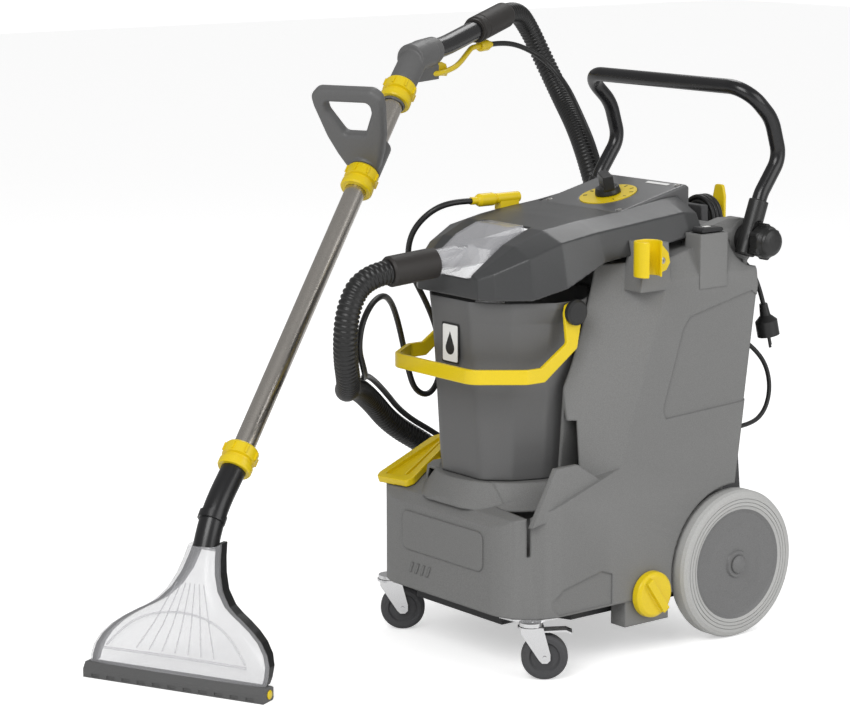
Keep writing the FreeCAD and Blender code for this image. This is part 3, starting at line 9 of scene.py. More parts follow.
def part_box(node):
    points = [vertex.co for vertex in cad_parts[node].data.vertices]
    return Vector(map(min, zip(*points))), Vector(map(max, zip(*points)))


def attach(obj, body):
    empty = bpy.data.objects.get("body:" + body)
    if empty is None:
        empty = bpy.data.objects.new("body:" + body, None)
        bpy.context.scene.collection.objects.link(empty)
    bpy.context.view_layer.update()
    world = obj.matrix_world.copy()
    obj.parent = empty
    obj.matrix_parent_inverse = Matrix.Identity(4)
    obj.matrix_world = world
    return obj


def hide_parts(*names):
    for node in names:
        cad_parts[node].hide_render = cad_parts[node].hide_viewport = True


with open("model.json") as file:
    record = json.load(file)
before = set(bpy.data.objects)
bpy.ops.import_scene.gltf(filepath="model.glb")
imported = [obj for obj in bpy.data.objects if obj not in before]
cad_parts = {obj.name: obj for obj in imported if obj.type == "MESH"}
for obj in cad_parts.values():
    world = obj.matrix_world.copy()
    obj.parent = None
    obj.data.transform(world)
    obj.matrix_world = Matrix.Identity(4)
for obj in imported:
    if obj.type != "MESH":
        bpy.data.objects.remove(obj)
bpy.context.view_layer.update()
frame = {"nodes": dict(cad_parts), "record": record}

random.seed(7)
SC = bpy.context.scene

# the machine's own origin in the row frame: middle of the axle, below it on the floor
_a, _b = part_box("rear_axle")
OX, OY = (_a.x + _b.x) / 2, (_a.y + _b.y) / 2 - 0.167


def M(x, y, z):
    """Machine millimetres to row metres."""
    return Vector((OX + x / 1000.0, OY + y / 1000.0, z / 1000.0))


WA = math.atan2(0.425, 0.905)


def W(x, y, z):
    """Wand-plane millimetres to row metres."""
    return M(-126 + math.cos(WA) * x - math.sin(WA) * y, -726 + math.sin(WA) * x + math.cos(WA) * y, z)


# ------------------------------------------------------------------ camera
cam = bpy.data.cameras.new("camera")
cam_o = bpy.data.objects.new("camera", cam)
SC.collection.objects.link(cam_o)
az, el = math.radians(51.3), math.radians(10.5)
back = Vector((math.sin(az) * math.cos(el), -math.cos(az) * math.cos(el), math.sin(el)))
right = Vector((math.cos(az), math.sin(az), 0))
up = back.cross(right)
m = Matrix((right, up, back)).transposed().to_4x4()
m.translation = M(3406.2, -2983.5, 1310.0)
cam_o.matrix_world = m
cam.sensor_width = 36.0
cam.lens = 2735.4 / 850 * 36.0
cam.shift_x = (425 - 459.2) / 850
cam.shift_y = (354.3 - 355) / 850
cam.clip_end = 60
SC.camera = cam_o


# ------------------------------------------------------------------ materials
def new_mat(name, base, rough, metal=0.0, vary=0.10, scale=900.0, bump=0.15, depth=0.0004, coat=0.0,
            rough_vary=0.06, ior=1.5, alpha=1.0, edge=0.0, stretch=None, round_=0.0):
    """A procedural finish: speckled colour, varied roughness, fine bump, optional edge wear."""
    mt = bpy.data.materials.new(name)
    mt.use_nodes = True
    nt = mt.node_tree
    p = nt.nodes["Principled BSDF"]
    p.inputs["Metallic"].default_value = metal
    p.inputs["IOR"].default_value = ior
    p.inputs["Coat Weight"].default_value = coat
    p.inputs["Coat Roughness"].default_value = 0.12
    p.inputs["Alpha"].default_value = alpha
    tc = nt.nodes.new("ShaderNodeTexCoord")
    src = tc.outputs["Object"]
    if stretch:
        mp = nt.nodes.new("ShaderNodeMapping")
        mp.inputs["Rotation"].default_value = stretch[0]
        mp.inputs["Scale"].default_value = stretch[1]
        nt.links.new(src, mp.inputs["Vector"])
        src = mp.outputs["Vector"]
    n = nt.nodes.new("ShaderNodeTexNoise")
    n.inputs["Scale"].default_value = scale
    n.inputs["Detail"].default_value = 3.0
    nt.links.new(src, n.inputs["Vector"])
    r = nt.nodes.new("ShaderNodeValToRGB")
    r.color_ramp.elements[0].position = 0.36
    r.color_ramp.elements[1].position = 0.64
    r.color_ramp.elements[0].color = [c * (1 - vary) for c in base] + [1]
    r.color_ramp.elements[1].color = [min(1, c * (1 + vary)) for c in base] + [1]
    nt.links.new(n.outputs["Fac"], r.inputs["Fac"])
    col = r.outputs["Color"]
    # broad, faint handling marks
    n2 = nt.nodes.new("ShaderNodeTexNoise")
    n2.inputs["Scale"].default_value = 14.0
    n2.inputs["Detail"].default_value = 5.0
    nt.links.new(tc.outputs["Object"], n2.inputs["Vector"])
    mr = nt.nodes.new("ShaderNodeMapRange")
    mr.inputs["To Min"].default_value = max(0.02, rough - rough_vary)
    mr.inputs["To Max"].default_value = min(1.0, rough + rough_vary)
    nt.links.new(n2.outputs["Fac"], mr.inputs["Value"])
    nt.links.new(mr.outputs["Result"], p.inputs["Roughness"])
    if edge:
        g = nt.nodes.new("ShaderNodeNewGeometry")
        er = nt.nodes.new("ShaderNodeMapRange")
        er.inputs["From Min"].default_value = 0.52
        er.inputs["From Max"].default_value = 0.62
        er.inputs["To Max"].default_value = edge
        nt.links.new(g.outputs["Pointiness"], er.inputs["Value"])
        mx = nt.nodes.new("ShaderNodeMix")
        mx.data_type = "RGBA"
        mx.inputs[7].default_value = [min(1, c * 1.7 + 0.03) for c in base] + [1]
        nt.links.new(er.outputs["Result"], mx.inputs[0])
        nt.links.new(col, mx.inputs[6])
        col = mx.outputs[2]
    nt.links.new(col, p.inputs["Base Color"])
    if bump:
        b = nt.nodes.new("ShaderNodeBump")
        b.inputs["Strength"].default_value = bump
        b.inputs["Distance"].default_value = depth
        nt.links.new(n.outputs["Fac"], b.inputs["Height"])
        nt.links.new(b.outputs["Normal"], p.inputs["Normal"])
        if round_:
            bv = nt.nodes.new("ShaderNodeBevel")
            bv.samples = 6
            bv.inputs["Radius"].default_value = round_
            nt.links.new(bv.outputs["Normal"], b.inputs["Normal"])
    return mt


axis = (W(0, 193 + 719.3, 326 + 694.7) - W(0, 193, 326)).normalized()
tube_rot = axis.rotation_difference(Vector((0, 0, 1))).to_euler()
MT = {
    "body_grey": new_mat("body_grey_finish", (0.168, 0.168, 0.165), 0.6, vary=0.13, scale=900, bump=0.35, depth=0.0003, edge=0.12, round_=0.005),
    "rear_grey": new_mat("rear_grey_finish", (0.060, 0.060, 0.062), 0.6, vary=0.14, scale=900, bump=0.3, round_=0.005),
    "charcoal": new_mat("charcoal_finish", (0.048, 0.049, 0.050), 0.36, vary=0.14, scale=1500, bump=0.15, edge=0.08),
    "pan_black": new_mat("pan_black_finish", (0.016, 0.016, 0.017), 0.55, vary=0.2, scale=900, bump=0.3),
    "console_grey": new_mat("console_finish", (0.105, 0.106, 0.108), 0.3, vary=0.06, scale=1500, bump=0.10, depth=0.0002, coat=0.1),
    "yellow": new_mat("yellow_finish", (0.76, 0.56, 0.003), 0.36, vary=0.05, scale=1100, bump=0.10, depth=0.0002, coat=0.1),
    "screw_steel": new_mat("screw_finish", (0.55, 0.54, 0.52), 0.32, 1.0, vary=0.1, scale=1800),
    "knob_black": new_mat("knob_black_finish", (0.013, 0.013, 0.013), 0.38, vary=0.2, scale=1300, bump=0.2, edge=0.12),
    "switch_black": new_mat("switch_finish", (0.014, 0.014, 0.014), 0.5),
    "clear": new_mat("clear_finish", (0.60, 0.60, 0.62), 0.12, vary=0.04, scale=400, bump=0.06, depth=0.0003, alpha=0.36, rough_vary=0.04),
    "cuff_rubber": new_mat("cuff_rubber_finish", (0.024, 0.021, 0.019), 0.58, vary=0.2, scale=1500, bump=0.3),
    "motor_case": new_mat("motor_case_finish", (0.05, 0.05, 0.055), 0.55),
    "axle_steel": new_mat("axle_finish", (0.5, 0.5, 0.5), 0.3, 1.0, vary=0.08, scale=1600),
    "tyre_grey": new_mat("tyre_finish", (0.43, 0.43, 0.42), 0.68, vary=0.08, scale=800, bump=0.35),
    "hub_grey": new_mat("hub_finish", (0.155, 0.155, 0.155), 0.5, vary=0.16, scale=900, bump=0.3),
    "chrome": new_mat("chrome_finish", (0.78, 0.78, 0.79), 0.16, 1.0, vary=0.03, scale=700, bump=0.05, rough_vary=0.05),
    "caster_rubber": new_mat("caster_finish", (0.055, 0.055, 0.058), 0.6, vary=0.14, scale=1100, bump=0.25),
    "handle_black": new_mat("handle_finish", (0.008, 0.008, 0.009), 0.26, vary=0.15, scale=1600, bump=0.08, coat=0.1),
    "bucket_grey": new_mat("bucket_finish", (0.110, 0.110, 0.110), 0.42, vary=0.08, scale=1300, bump=0.12, edge=0.06),
    "float_white": new_mat("float_finish", (0.7, 0.7, 0.7), 0.5),
    "hose_black": new_mat("hose_finish", (0.012, 0.012, 0.012), 0.36, vary=0.2, scale=1500, bump=0.15),
    "spray_black": new_mat("spray_finish", (0.012, 0.012, 0.012), 0.4, vary=0.2, scale=1500, bump=0.15),
    "cord_black": new_mat("cord_finish", (0.012, 0.012, 0.012), 0.45, vary=0.2, scale=1800, bump=0.2),
    "nozzle_black": new_mat("nozzle_finish", (0.010, 0.010, 0.011), 0.30, vary=0.15, scale=1300, bump=0.1, coat=0.1),
    "lip_grey": new_mat("lip_finish", (0.095, 0.095, 0.095), 0.5, vary=0.12, scale=1100, bump=0.25),
    "tube_steel": new_mat("tube_finish", (0.60, 0.565, 0.52), 0.27, 1.0, vary=0.10, scale=900, bump=0.25, depth=0.0002,
                          stretch=(tuple(tube_rot), (1, 1, 0.02))),
    "grip_grey": new_mat("grip_finish", (0.120, 0.120, 0.120), 0.45, vary=0.12, scale=1200, bump=0.2, edge=0.08),
}
white_ink = new_mat("white_ink", (0.82, 0.82, 0.80), 0.5, vary=0.03, scale=1500)
black_ink = new_mat("black_ink", (0.01, 0.01, 0.01), 0.45, vary=0.1, scale=1500)

SLOT = {s["node"]: s["material_slot"] for s in frame["record"]["subparts"]}
BODY = {n: b for b, ns in frame["record"]["behaviour"]["bodies"].items() for n in ns}
for node, obj in frame["nodes"].items():
    obj.data.materials.clear()
    obj.data.materials.append(MT[SLOT[node]])


def link(name, mesh, mat, body, smooth=True):
    mesh.materials.clear()
    mesh.materials.append(mat)
    if smooth:
        for f in mesh.polygons:
            f.use_smooth = True
    o = bpy.data.objects.new(name, mesh)
    SC.collection.objects.link(o)
    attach(o, body)
    return o


# ------------------------------------------------------------------ cords
def nurbs(name, pts, bevel=0.0, res=8):
    c = bpy.data.curves.new(name, "CURVE")
    c.dimensions = "3D"
    s = c.splines.new("NURBS")
    s.points.add(len(pts) - 1)
    for q, p in zip(s.points, pts):
        v = M(*p)
        q.co = (v.x, v.y, v.z, 1)
    s.order_u = 3
    s.use_endpoint_u = True
    s.resolution_u = res
    c.bevel_depth = bevel
    c.bevel_resolution = 5
    c.use_fill_caps = True
    o = bpy.data.objects.new(name, c)
    SC.collection.objects.link(o)
    return o


def read_line(o):
    """Points along a curve with no bevel, in order."""
    bpy.context.view_layer.update()
    me = bpy.data.meshes.new_from_object(o.evaluated_get(bpy.context.evaluated_depsgraph_get()))
    return [v.co.copy() for v in me.vertices]


def span(P):
    return sum((b - a).length for a, b in zip(P, P[1:]))


suction_route = [(-7.6, -393.4, 648.4), (-11, -440, 644), (-11, -472, 595), (-23, -468, 523), (-69, -425, 457), (-152, -372, 432),
                 (-223, -303, 420), (-278, -230, 382), (-310, -159, 321), (-311, -73, 270), (-299, 3, 207), (-288, 72, 135),
                 (-290, 146, 68), (-314, 233, 26), (-356, 323, 26), (-400, 397, 76), (-425, 432, 165), (-423, 437, 265),
                 (-401, 428, 363), (-383, 410, 459), (-379, 401, 559), (-404, 404, 656), (-461, 424, 735), (-538, 462, 787),
                 (-623, 500, 832), (-674, 497, 902), (-684, 466, 966), (-662, 416, 1003), (-640.8, 370.2, 996.1)]
spray_route = [(-112, -140, 731), (-113, -180, 733), (-128, -215, 718), (-154, -232, 684), (-178, -224, 640), (-193, -198, 596),
               (-200, -166, 552), (-203, -142, 505), (-202, -132, 455), (-197, -142, 412), (-188, -172, 392), (-182, -206, 408),
               (-180, -222, 450), (-176, -236, 498), (-157, -262, 543), (-123, -300, 578), (-84, -345, 598), (-52, -392, 594),
               (-34, -426, 566), (-32, -434, 525), (-50, -411, 490), (-86, -380, 465), (-142, -344, 453), (-209, -282, 438),
               (-264, -211, 398), (-296, -143, 339), (-297, -60, 290), (-284, 18, 226), (-273, 88, 153), (-275, 161, 86),
               (-297, 244, 46), (-336, 328, 44), (-375, 397, 88), (-397, 430, 169), (-395, 435, 262), (-374, 423, 357),
               (-355, 408, 455), (-351, 399, 562), (-379, 403, 668), (-441, 426, 755), (-518, 456, 812), (-580, 474, 862),
               (-622, 458, 906), (-638, 415, 933), (-634, 362, 944), (-615, 313, 943)]


def ribbed(name, P, r, pitch, depth, sides, mat, body):
    """A corrugated tube along the points P."""
    L = span(P)
    n = int(L / (pitch / 4))
    acc = [0.0]
    for a, b in zip(P, P[1:]):
        acc.append(acc[-1] + (b - a).length)
    out, j = [], 0
    for k in range(n + 1):
        s = L * k / n
        while j < len(P) - 2 and acc[j + 1] < s:
            j += 1
        t = (s - acc[j]) / max(1e-9, acc[j + 1] - acc[j])
        out.append((P[j].lerp(P[j + 1], min(1, t)), s))
    bm = bmesh.new()
    rings = []
    nrm = Vector((0, 0, 1))
    for k, (p, s) in enumerate(out):
        d = (out[min(k + 1, n)][0] - out[max(k - 1, 0)][0]).normalized()
        nrm = (nrm - d * nrm.dot(d)).normalized()
        bi = d.cross(nrm)
        rr = r - depth * (0, 0.25, 1.0, 0.25)[k % 4]
        rings.append([bm.verts.new(p + (nrm * math.cos(a) + bi * math.sin(a)) * rr)
                      for a in [2 * math.pi * i / sides for i in range(sides)]])
    for a, b in zip(rings, rings[1:]):
        for i in range(sides):
            bm.faces.new((a[i], a[(i + 1) % sides], b[(i + 1) % sides], b[i]))
    bm.faces.new(list(reversed(rings[0])))
    bm.faces.new(rings[-1])
    bmesh.ops.recalc_face_normals(bm, faces=bm.faces)
    me = bpy.data.meshes.new(name)
    bm.to_mesh(me)
    bm.free()
    return link(name, me, mat, body)


guide = nurbs("suction_guide", suction_route, 0.0, 12)
hose_line = read_line(guide)
bpy.data.objects.remove(guide)
hose = ribbed("suction_hose_ribbed", hose_line, 0.020, 0.0082, 0.0028, 28, MT["hose_black"], "machine")
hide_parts("suction_hose")

sp_line_o = nurbs("spray_guide", spray_route, 0.0, 10)
sp_len = span(read_line(sp_line_o))
bpy.data.objects.remove(sp_line_o)
spray = nurbs("spray_hose_line", spray_route, 0.005, 10)
spray.data.materials.append(MT["spray_black"])
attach(spray, "machine")
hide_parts("spray_hose")

# wound mains cord: lead from the gland, turns round the two hooks, tail with the plug
HC = 32.0
order = [(2, 2), (2, 1), (1, 1), (1, 2), (0, 2), (0, 1), (0, 0), (1, 0), (2, 0)]
cells = [(19.5 + 8.5 * i, 246.0 + 8.5 * j) for i, j in order]
coil = []
for k, (w, y) in enumerate(cells):
    w2, y2 = cells[min(k + 1, len(cells) - 1)]
    lap = []
    for t in (0.2, 0.5, 0.8):
        lap.append((1, t, 0))
    for a in (12, 50, 90, 130, 168):
        lap.append((2, a, 0))
    for t in (0.8, 0.5, 0.2):
        lap.append((3, t, 0))
    for a in (192, 230, 270, 310, 348):
        lap.append((4, a, 0))
    for kind, t, _ in lap:
        f = 0.0
        if kind == 4:
            f = (t - 180) / 180.0
        ww, yy = w + (w2 - w) * f, y + (y2 - y) * f
        zb, zt = 438 - (ww - 15) + ww, 702 + (ww - 15) - ww
        if kind == 1:
            coil.append((HC + ww, yy, zb + (zt - zb) * t))
        elif kind == 3:
            coil.append((HC - ww, yy, zb + (zt - zb) * t))
        else:
            a = math.radians(t)
            zc = zt if kind == 2 else zb
            coil.append((HC + ww * 1.03 * math.cos(a), yy, zc + ww * 1.03 * math.sin(a)))
lead = [(112, 265, 330), (112, 304, 330), (110, 338, 350), (103, 356, 388), (94, 352, 430), (82, 326, 463), (74, 296, 480), (69.5, 272, 500)]
last = (68.5, 246, 570)
tail = [(68.5, 246, 592), (72, 247, 611), (84, 250, 627), (106, 255, 631), (133, 262, 618), (154, 269, 589), (160, 277, 550)]
power_route = lead + coil[1:] + [(68.5, 246, 500), last] + tail
pg = nurbs("power_guide", power_route, 0.0, 8)
pw_len = span(read_line(pg))
bpy.data.objects.remove(pg)
power = nurbs("power_cord_line", power_route, 0.004, 8)
power.data.materials.append(MT["cord_black"])
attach(power, "machine")
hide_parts("power_cord_coil", "power_cord_lead", "power_cord_tail")
print("cord lengths", round(span(hose_line), 4), round(sp_len, 4), round(pw_len, 4))


# ------------------------------------------------------------------ moulded pieces with soft edges
def soften(node, voxel, rounds, name=None):
    """A moulded copy of a CAD node with every edge rounded; it stands for the node."""
    src = frame["nodes"][node]
    me = src.data.copy()
    bm = bmesh.new()
    bm.from_mesh(me)
    bmesh.ops.remove_doubles(bm, verts=bm.verts, dist=1e-6)
    bm.to_mesh(me)
    bm.free()
    o = bpy.data.objects.new(name or node + "_moulded", me)
    SC.collection.objects.link(o)
    r = o.modifiers.new("remesh", "REMESH")
    r.mode = "VOXEL"
    r.voxel_size = voxel
    r.use_smooth_shade = True
    s = o.modifiers.new("smooth", "SMOOTH")
    s.factor = 0.5
    s.iterations = rounds
    bpy.context.view_layer.update()
    done = bpy.data.meshes.new_from_object(o.evaluated_get(bpy.context.evaluated_depsgraph_get()))
    bpy.data.objects.remove(o)
    out = link(name or node + "_moulded", done, MT[SLOT[node]], BODY[node])
    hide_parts(node)
    return out


for node, voxel, rounds in (("top_cover", 0.0019, 4), ("recovery_bucket", 0.0016, 4),
                            ("control_console", 0.0018, 3), ("d_handle", 0.0016, 10), ("grip_body", 0.0016, 8), ("tube_clip", 0.0011, 4),
                            ("filler_cap", 0.0012, 4), ("drain_cap", 0.0011, 4), ("bucket_bail", 0.0012, 4), ("handle_tees", 0.0014, 5),
                            ("selector_knob", 0.0009, 4), ("clamp_knob_left", 0.0010, 3), ("clamp_knob_right", 0.0010, 3),
                            ("trigger", 0.0008, 4), ("socket_lid", 0.0009, 4), ("cord_hook_upper", 0.0010, 4)):
    soften(node, voxel, rounds)


# ------------------------------------------------------------------ mesh helpers
def frame_of(origin, xdir, ydir):
    x = xdir.normalized()
    z = x.cross(ydir).normalized()
    y = z.cross(x)
    mm = Matrix((x, y, z)).transposed().to_4x4()
    mm.translation = origin
    return mm


def plate(name, outline, thick, origin, xdir, ydir, mat, body, bevel=0.0006, holes=()):
    """A thin raised shape, millimetre outline in its own plane, with softened edges."""
    bm = bmesh.new()
    mm = frame_of(origin, xdir, ydir)
    vs = [bm.verts.new(mm @ Vector((a / 1000, b / 1000, 0))) for a, b in outline]
    f = bm.faces.new(vs)
    ex = bmesh.ops.extrude_face_region(bm, geom=[f])
    d = mm.to_3x3() @ Vector((0, 0, thick / 1000))
    bmesh.ops.translate(bm, verts=[g for g in ex["geom"] if isinstance(g, bmesh.types.BMVert)], vec=d)
    bmesh.ops.recalc_face_normals(bm, faces=bm.faces)
    bmesh.ops.bevel(bm, geom=list(bm.edges), offset=bevel, segments=2, affect="EDGES", profile=0.6)
    me = bpy.data.meshes.new(name)
    bm.to_mesh(me)
    bm.free()
    return link(name, me, mat, body, smooth=False)


def rounded(w, h, r, n=5, cx=0, cy=0):
    out = []
    for sx, sy, a0 in ((1, 1, 0), (-1, 1, 90), (-1, -1, 180), (1, -1, 270)):
        for k in range(n + 1):
            a = math.radians(a0 + 90.0 * k / n)
            out.append((cx + sx * (w / 2 - r) + r * math.cos(a), cy + sy * (h / 2 - r) + r * math.sin(a)))
    return out


def lathe(name, prof, origin, direction, mat, body, n=48):
    bm = bmesh.new()
    z = direction.normalized()
    x = z.orthogonal().normalized()
    y = z.cross(x)
    rings = []
    for r, h in prof:
        c = origin + z * (h / 1000)
        if r <= 1e-6:
            rings.append([bm.verts.new(c)])
        else:
            rings.append([bm.verts.new(c + (x * math.cos(a) + y * math.sin(a)) * r / 1000) for a in [2 * math.pi * k / n for k in range(n)]])
    for a, b in zip(rings, rings[1:]):
        for k in range(n):
            j = (k + 1) % n
            q = [a[k % len(a)], a[j % len(a)], b[j % len(b)], b[k % len(b)]]
            q = list(dict.fromkeys(q))
            if len(q) > 2:
                bm.faces.new(q)
    bmesh.ops.recalc_face_normals(bm, faces=bm.faces)
    me = bpy.data.meshes.new(name)
    bm.to_mesh(me)
    bm.free()
    return link(name, me, mat, body)


X, Y, Z = Vector((1, 0, 0)), Vector((0, 1, 0)), Vector((0, 0, 1))

# dial markings: plain ticks and wedges round the selector
tilt = math.atan2(35, 150)
dn = Vector((0, -math.sin(tilt), math.cos(tilt)))
dy = Vector((0, math.cos(tilt), math.sin(tilt)))
dc = M(0, 66, 722 + 66 * 35 / 150.0) + dn * 0.00125
for k in range(9):
    a = math.radians(-30 + k * 30)
    o = dc + X * (0.041 * math.cos(a)) + dy * (0.041 * math.sin(a))
    rad = (X * math.cos(a) + dy * math.sin(a))
    tan = dn.cross(rad)
    wdt = 1.0 + 0.35 * k
    plate("dial_tick_%d" % k, [(-3.5, -wdt / 2), (3.5, -wdt / 2), (3.5, wdt / 2), (-3.5, wdt / 2)], 0.35, o, rad, tan, black_ink, "machine", bevel=0.0001)
# a plain light label at the rear of the console
plate("console_label", rounded(54, 8, 2), 0.4, M(44, 138, 722 + 138 * 35 / 150.0) + dn * 0.0003, X, dy, white_ink, "machine", bevel=0.0001)
plate("console_icon_a", rounded(9, 9, 2), 0.4, M(-62, 118, 722 + 118 * 35 / 150.0) + dn * 0.0003, X, dy, white_ink, "machine", bevel=0.0001)

# badge on the bucket: pale plate, dark outline, a plain droplet
for nm, wdt, hgt, off, mt in (("badge_plate", 44, 66, 0.0, black_ink), ("badge_face", 38, 60, 0.7, white_ink)):
    plate(nm, rounded(wdt, hgt, 3), 0.8, M(0, -145 - 127.2 - off, 522), X, Z, mt, "bucket", bevel=0.0002)
drop = [(0.0, 21.0)] + [(11.0 * math.cos(math.radians(a)), -6.0 + 11.0 * math.sin(math.radians(a))) for a in range(28, -209, -12)]
plate("badge_drop", drop, 0.5, M(0, -145 - 127.2 - 1.4, 520), X, Z, black_ink, "bucket", bevel=0.0001)

# the lid's pictogram panel
plate("lid_pictogram", rounded(9, 14, 1.5), 0.4, M(190, 112, 699.1), X, Y, white_ink, "lid", bevel=0.0001)
# bumper: raised centre pad and the slanted ribs low on its left
plate("bumper_pad", rounded(212, 66, 14), 3.2, M(0, -289.4, 196), X, Z, MT["body_grey"], "machine", bevel=0.0014)
for k in range(4):
    plate("bumper_rib_%d" % k, [(-3, -9), (3, -9), (11, 9), (5, 9)], 1.8, M(-86 + 15 * k, -289.8, 134), X, Z, MT["body_grey"], "machine", bevel=0.0006)
# window ribs moulded on the clear front of the floor tool
for k in range(7):
    x = (k - 3) * 15
    pts = [W(x * 1.6, -6, 58), W(x * 1.15, 16, 96), W(x * 0.55, 44, 160)]
    c = bpy.data.curves.new("window_rib_%d" % k, "CURVE")
    c.dimensions = "3D"
    s = c.splines.new("POLY")
    s.points.add(2)
    for q, p in zip(s.points, pts):
        q.co = (p.x, p.y, p.z, 1)
    c.bevel_depth = 0.0011
    c.bevel_resolution = 3
    o = bpy.data.objects.new("window_rib_%d" % k, c)
    o.data.materials.append(MT["clear"])
    SC.collection.objects.link(o)
    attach(o, "machine")
# yellow end dot on the lip
lathe("lip_end_dot", [(0, 0), (7, 0), (7.5, 0.8), (6.5, 1.8), (0, 2.0)], W(167, 2, 11), W(1, 0, 0) - W(0, 0, 0), MT["yellow"], "machine", 28)
# hub centres
for sx, b in ((1, "wheel_right"), (-1, "wheel_left")):
    lathe("hub_centre_%s" % b, [(0, 0), (15, 0), (16, 1.5), (14, 4.5), (0, 5.5)], M(sx * 223.5, 167, 126), X * sx, MT["hub_grey"], b)

for sx, b in ((1, "clamp_right"), (-1, "clamp_left")):
    lathe("clamp_face_%s" % b, [(0, 0), (20.5, 0), (21.5, 0.8), (20.5, 1.9), (0, 2.4)], M(sx * 238.9, 212, 669), X * sx, MT["yellow"], b, 40)

# ------------------------------------------------------------------ floor tool: clear bell with black side rails and neck
HW = ((24, 163), (34, 164), (50, 162), (66, 154), (82, 139), (95, 121), (106, 102), (116, 83), (126, 67), (146, 48), (170, 36), (192, 30), (214, 26))
YC = ((24, 0, 9), (44, 8, 14), (108, 38, 22), (170, 70, 24), (214, 92, 22))


def yc(z):
    for (z0, y0, t0), (z1, y1, t1) in zip(YC, YC[1:]):
        if z <= z1:
            f = (z - z0) / (z1 - z0)
            return y0 + (y1 - y0) * f, t0 + (t1 - t0) * f
    return YC[-1][1:]


bm = bmesh.new()
rings = []
NS = 44
for z, hw in HW:
    y0, t0 = yc(z)
    ring = []
    for k in range(NS):
        a = 2 * math.pi * k / NS
        cx_, sn = math.cos(a), math.sin(a)
        x = hw * math.copysign(abs(cx_) ** 0.75, cx_)
        y = y0 - t0 * math.copysign(abs(sn) ** 0.6, sn) * (1.0 if sn > 0 else 0.85)
        ring.append(bm.verts.new(W(x, y, z)))
    rings.append(ring)
for a, b in zip(rings, rings[1:]):
    for k in range(NS):
        bm.faces.new((a[k], a[(k + 1) % NS], b[(k + 1) % NS], b[k]))
bmesh.ops.recalc_face_normals(bm, faces=bm.faces)
me = bpy.data.meshes.new("nozzle_bell")
bm.to_mesh(me)
bm.free()
bell = link("nozzle_bell", me, MT["clear"], "machine")
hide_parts("nozzle_window")


def wand_bar(name, pts, r, mat, flat=1.0):
    """A round bar through wand-plane points."""
    c = bpy.data.curves.new(name, "CURVE")
    c.dimensions = "3D"
    sp = c.splines.new("NURBS")
    sp.points.add(len(pts) - 1)
    for q, p in zip(sp.points, pts):
        v = W(*p)
        q.co = (v.x, v.y, v.z, 1)
    sp.order_u = 3
    sp.use_endpoint_u = True
    sp.resolution_u = 10
    c.bevel_depth = r
    c.bevel_resolution = 6
    c.use_fill_caps = True
    o = bpy.data.objects.new(name, c)
    o.data.materials.append(mat)
    SC.collection.objects.link(o)
    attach(o, "machine")
    return o


neck = wand_bar("nozzle_neck", [(0, 91, 206), (0, 106, 240), (0, 136, 277), (0, 181.5, 314.9), (0, 208, 340)], 0.021, MT["nozzle_black"])
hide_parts("nozzle_shell")
wand_bar("neck_ring", [(0, 110, 247), (0, 118, 257)], 0.0235, MT["nozzle_black"])
for sx, nm in ((1, "right"), (-1, "left")):
    bm = bmesh.new()
    cols = []
    for z, hw in HW:
        y0, t0 = yc(z)
        cols.append([bm.verts.new(W(sx * (hw + o_), y0 + d_, z)) for o_, d_ in ((-9, t0 * 0.15), (-1.5, t0 * 0.15), (-1.5, t0 * 1.05 + 5), (-9, t0 * 1.05 + 5))])
    for a, b in zip(cols, cols[1:]):
        for k in range(4):
            bm.faces.new((a[k], a[(k + 1) % 4], b[(k + 1) % 4], b[k]))
    bm.faces.new(cols[0])
    bm.faces.new(cols[-1])
    bmesh.ops.recalc_face_normals(bm, faces=bm.faces)
    bmesh.ops.bevel(bm, geom=list(bm.edges), offset=0.001, segments=2, affect="EDGES", profile=0.6)
    me = bpy.data.meshes.new("nozzle_rail_" + nm)
    bm.to_mesh(me)
    bm.free()
    link("nozzle_rail_" + nm, me, MT["nozzle_black"], "machine", smooth=False)
wand_bar("bell_crossbar", [(-132, -10, 52), (-60, -12, 54), (60, -12, 54), (132, -10, 52)], 0.0022, MT["clear"])
wand_bar("bell_arch", [(-128, -6, 56), (-104, 4, 86), (-60, 14, 112), (0, 20, 120), (60, 14, 112), (104, 4, 86), (128, -6, 56)], 0.0018, MT["clear"])

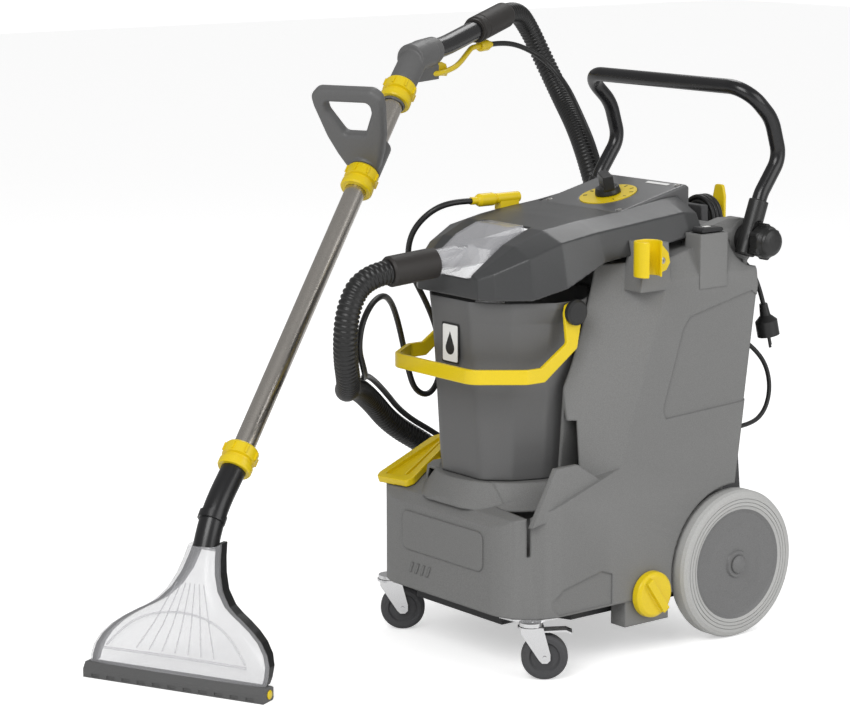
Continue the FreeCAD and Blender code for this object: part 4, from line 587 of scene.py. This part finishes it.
# ------------------------------------------------------------------ floor and light
me = bpy.data.meshes.new("floor")
cx, cy = OX, OY
R_ = 14.0
me.from_pydata([(cx - R_, cy - R_, -0.0002), (cx + R_, cy - R_, -0.0002), (cx + R_, cy + R_, -0.0002), (cx - R_, cy + R_, -0.0002)], [], [(0, 1, 2, 3)])
fm = bpy.data.materials.new("floor_finish")
fm.use_nodes = True
fm.node_tree.nodes["Principled BSDF"].inputs["Base Color"].default_value = (0.92, 0.92, 0.92, 1)
fm.node_tree.nodes["Principled BSDF"].inputs["Roughness"].default_value = 0.75
fm.node_tree.nodes["Principled BSDF"].inputs["Emission Color"].default_value = (1, 1, 1, 1)
flp = fm.node_tree.nodes.new("ShaderNodeLightPath")
fmu = fm.node_tree.nodes.new("ShaderNodeMath")
fmu.operation = "MULTIPLY"
fmu.inputs[1].default_value = 0.46
fm.node_tree.links.new(flp.outputs["Is Camera Ray"], fmu.inputs[0])
fm.node_tree.links.new(fmu.outputs[0], fm.node_tree.nodes["Principled BSDF"].inputs["Emission Strength"])
me.materials.append(fm)
floor = bpy.data.objects.new("floor", me)
SC.collection.objects.link(floor)
w = bpy.data.worlds.new("studio")
SC.world = w
w.use_nodes = True
nt = w.node_tree
bg = nt.nodes["Background"]
bg.inputs["Color"].default_value = (1, 1, 1, 1)
lp = nt.nodes.new("ShaderNodeLightPath")
gl = nt.nodes.new("ShaderNodeMix")
gl.inputs[2].default_value = 0.56
gl.inputs[3].default_value = 0.34
nt.links.new(lp.outputs["Is Glossy Ray"], gl.inputs[0])
cm = nt.nodes.new("ShaderNodeMix")
cm.inputs[3].default_value = 1.15
nt.links.new(lp.outputs["Is Camera Ray"], cm.inputs[0])
nt.links.new(gl.outputs[0], cm.inputs[2])
nt.links.new(cm.outputs[0], bg.inputs["Strength"])


def area(name, loc, target, size_, power_):
    l = bpy.data.lights.new(name, "AREA")
    l.shape = "RECTANGLE"
    l.size, l.size_y = size_
    l.energy = power_
    o = bpy.data.objects.new(name, l)
    o.location = loc
    o.rotation_euler = (target - loc).to_track_quat("-Z", "Y").to_euler()
    SC.collection.objects.link(o)


mid = M(-100, -100, 500)
area("key", M(1500, -2600, 2600), mid, (1.8, 1.8), 60)
area("fill", M(2600, 900, 1500), mid, (2.0, 2.0), 26)
area("rim", M(-1700, 1900, 3300), mid, (1.2, 2.0), 24)
SC.view_settings.view_transform = "Standard"
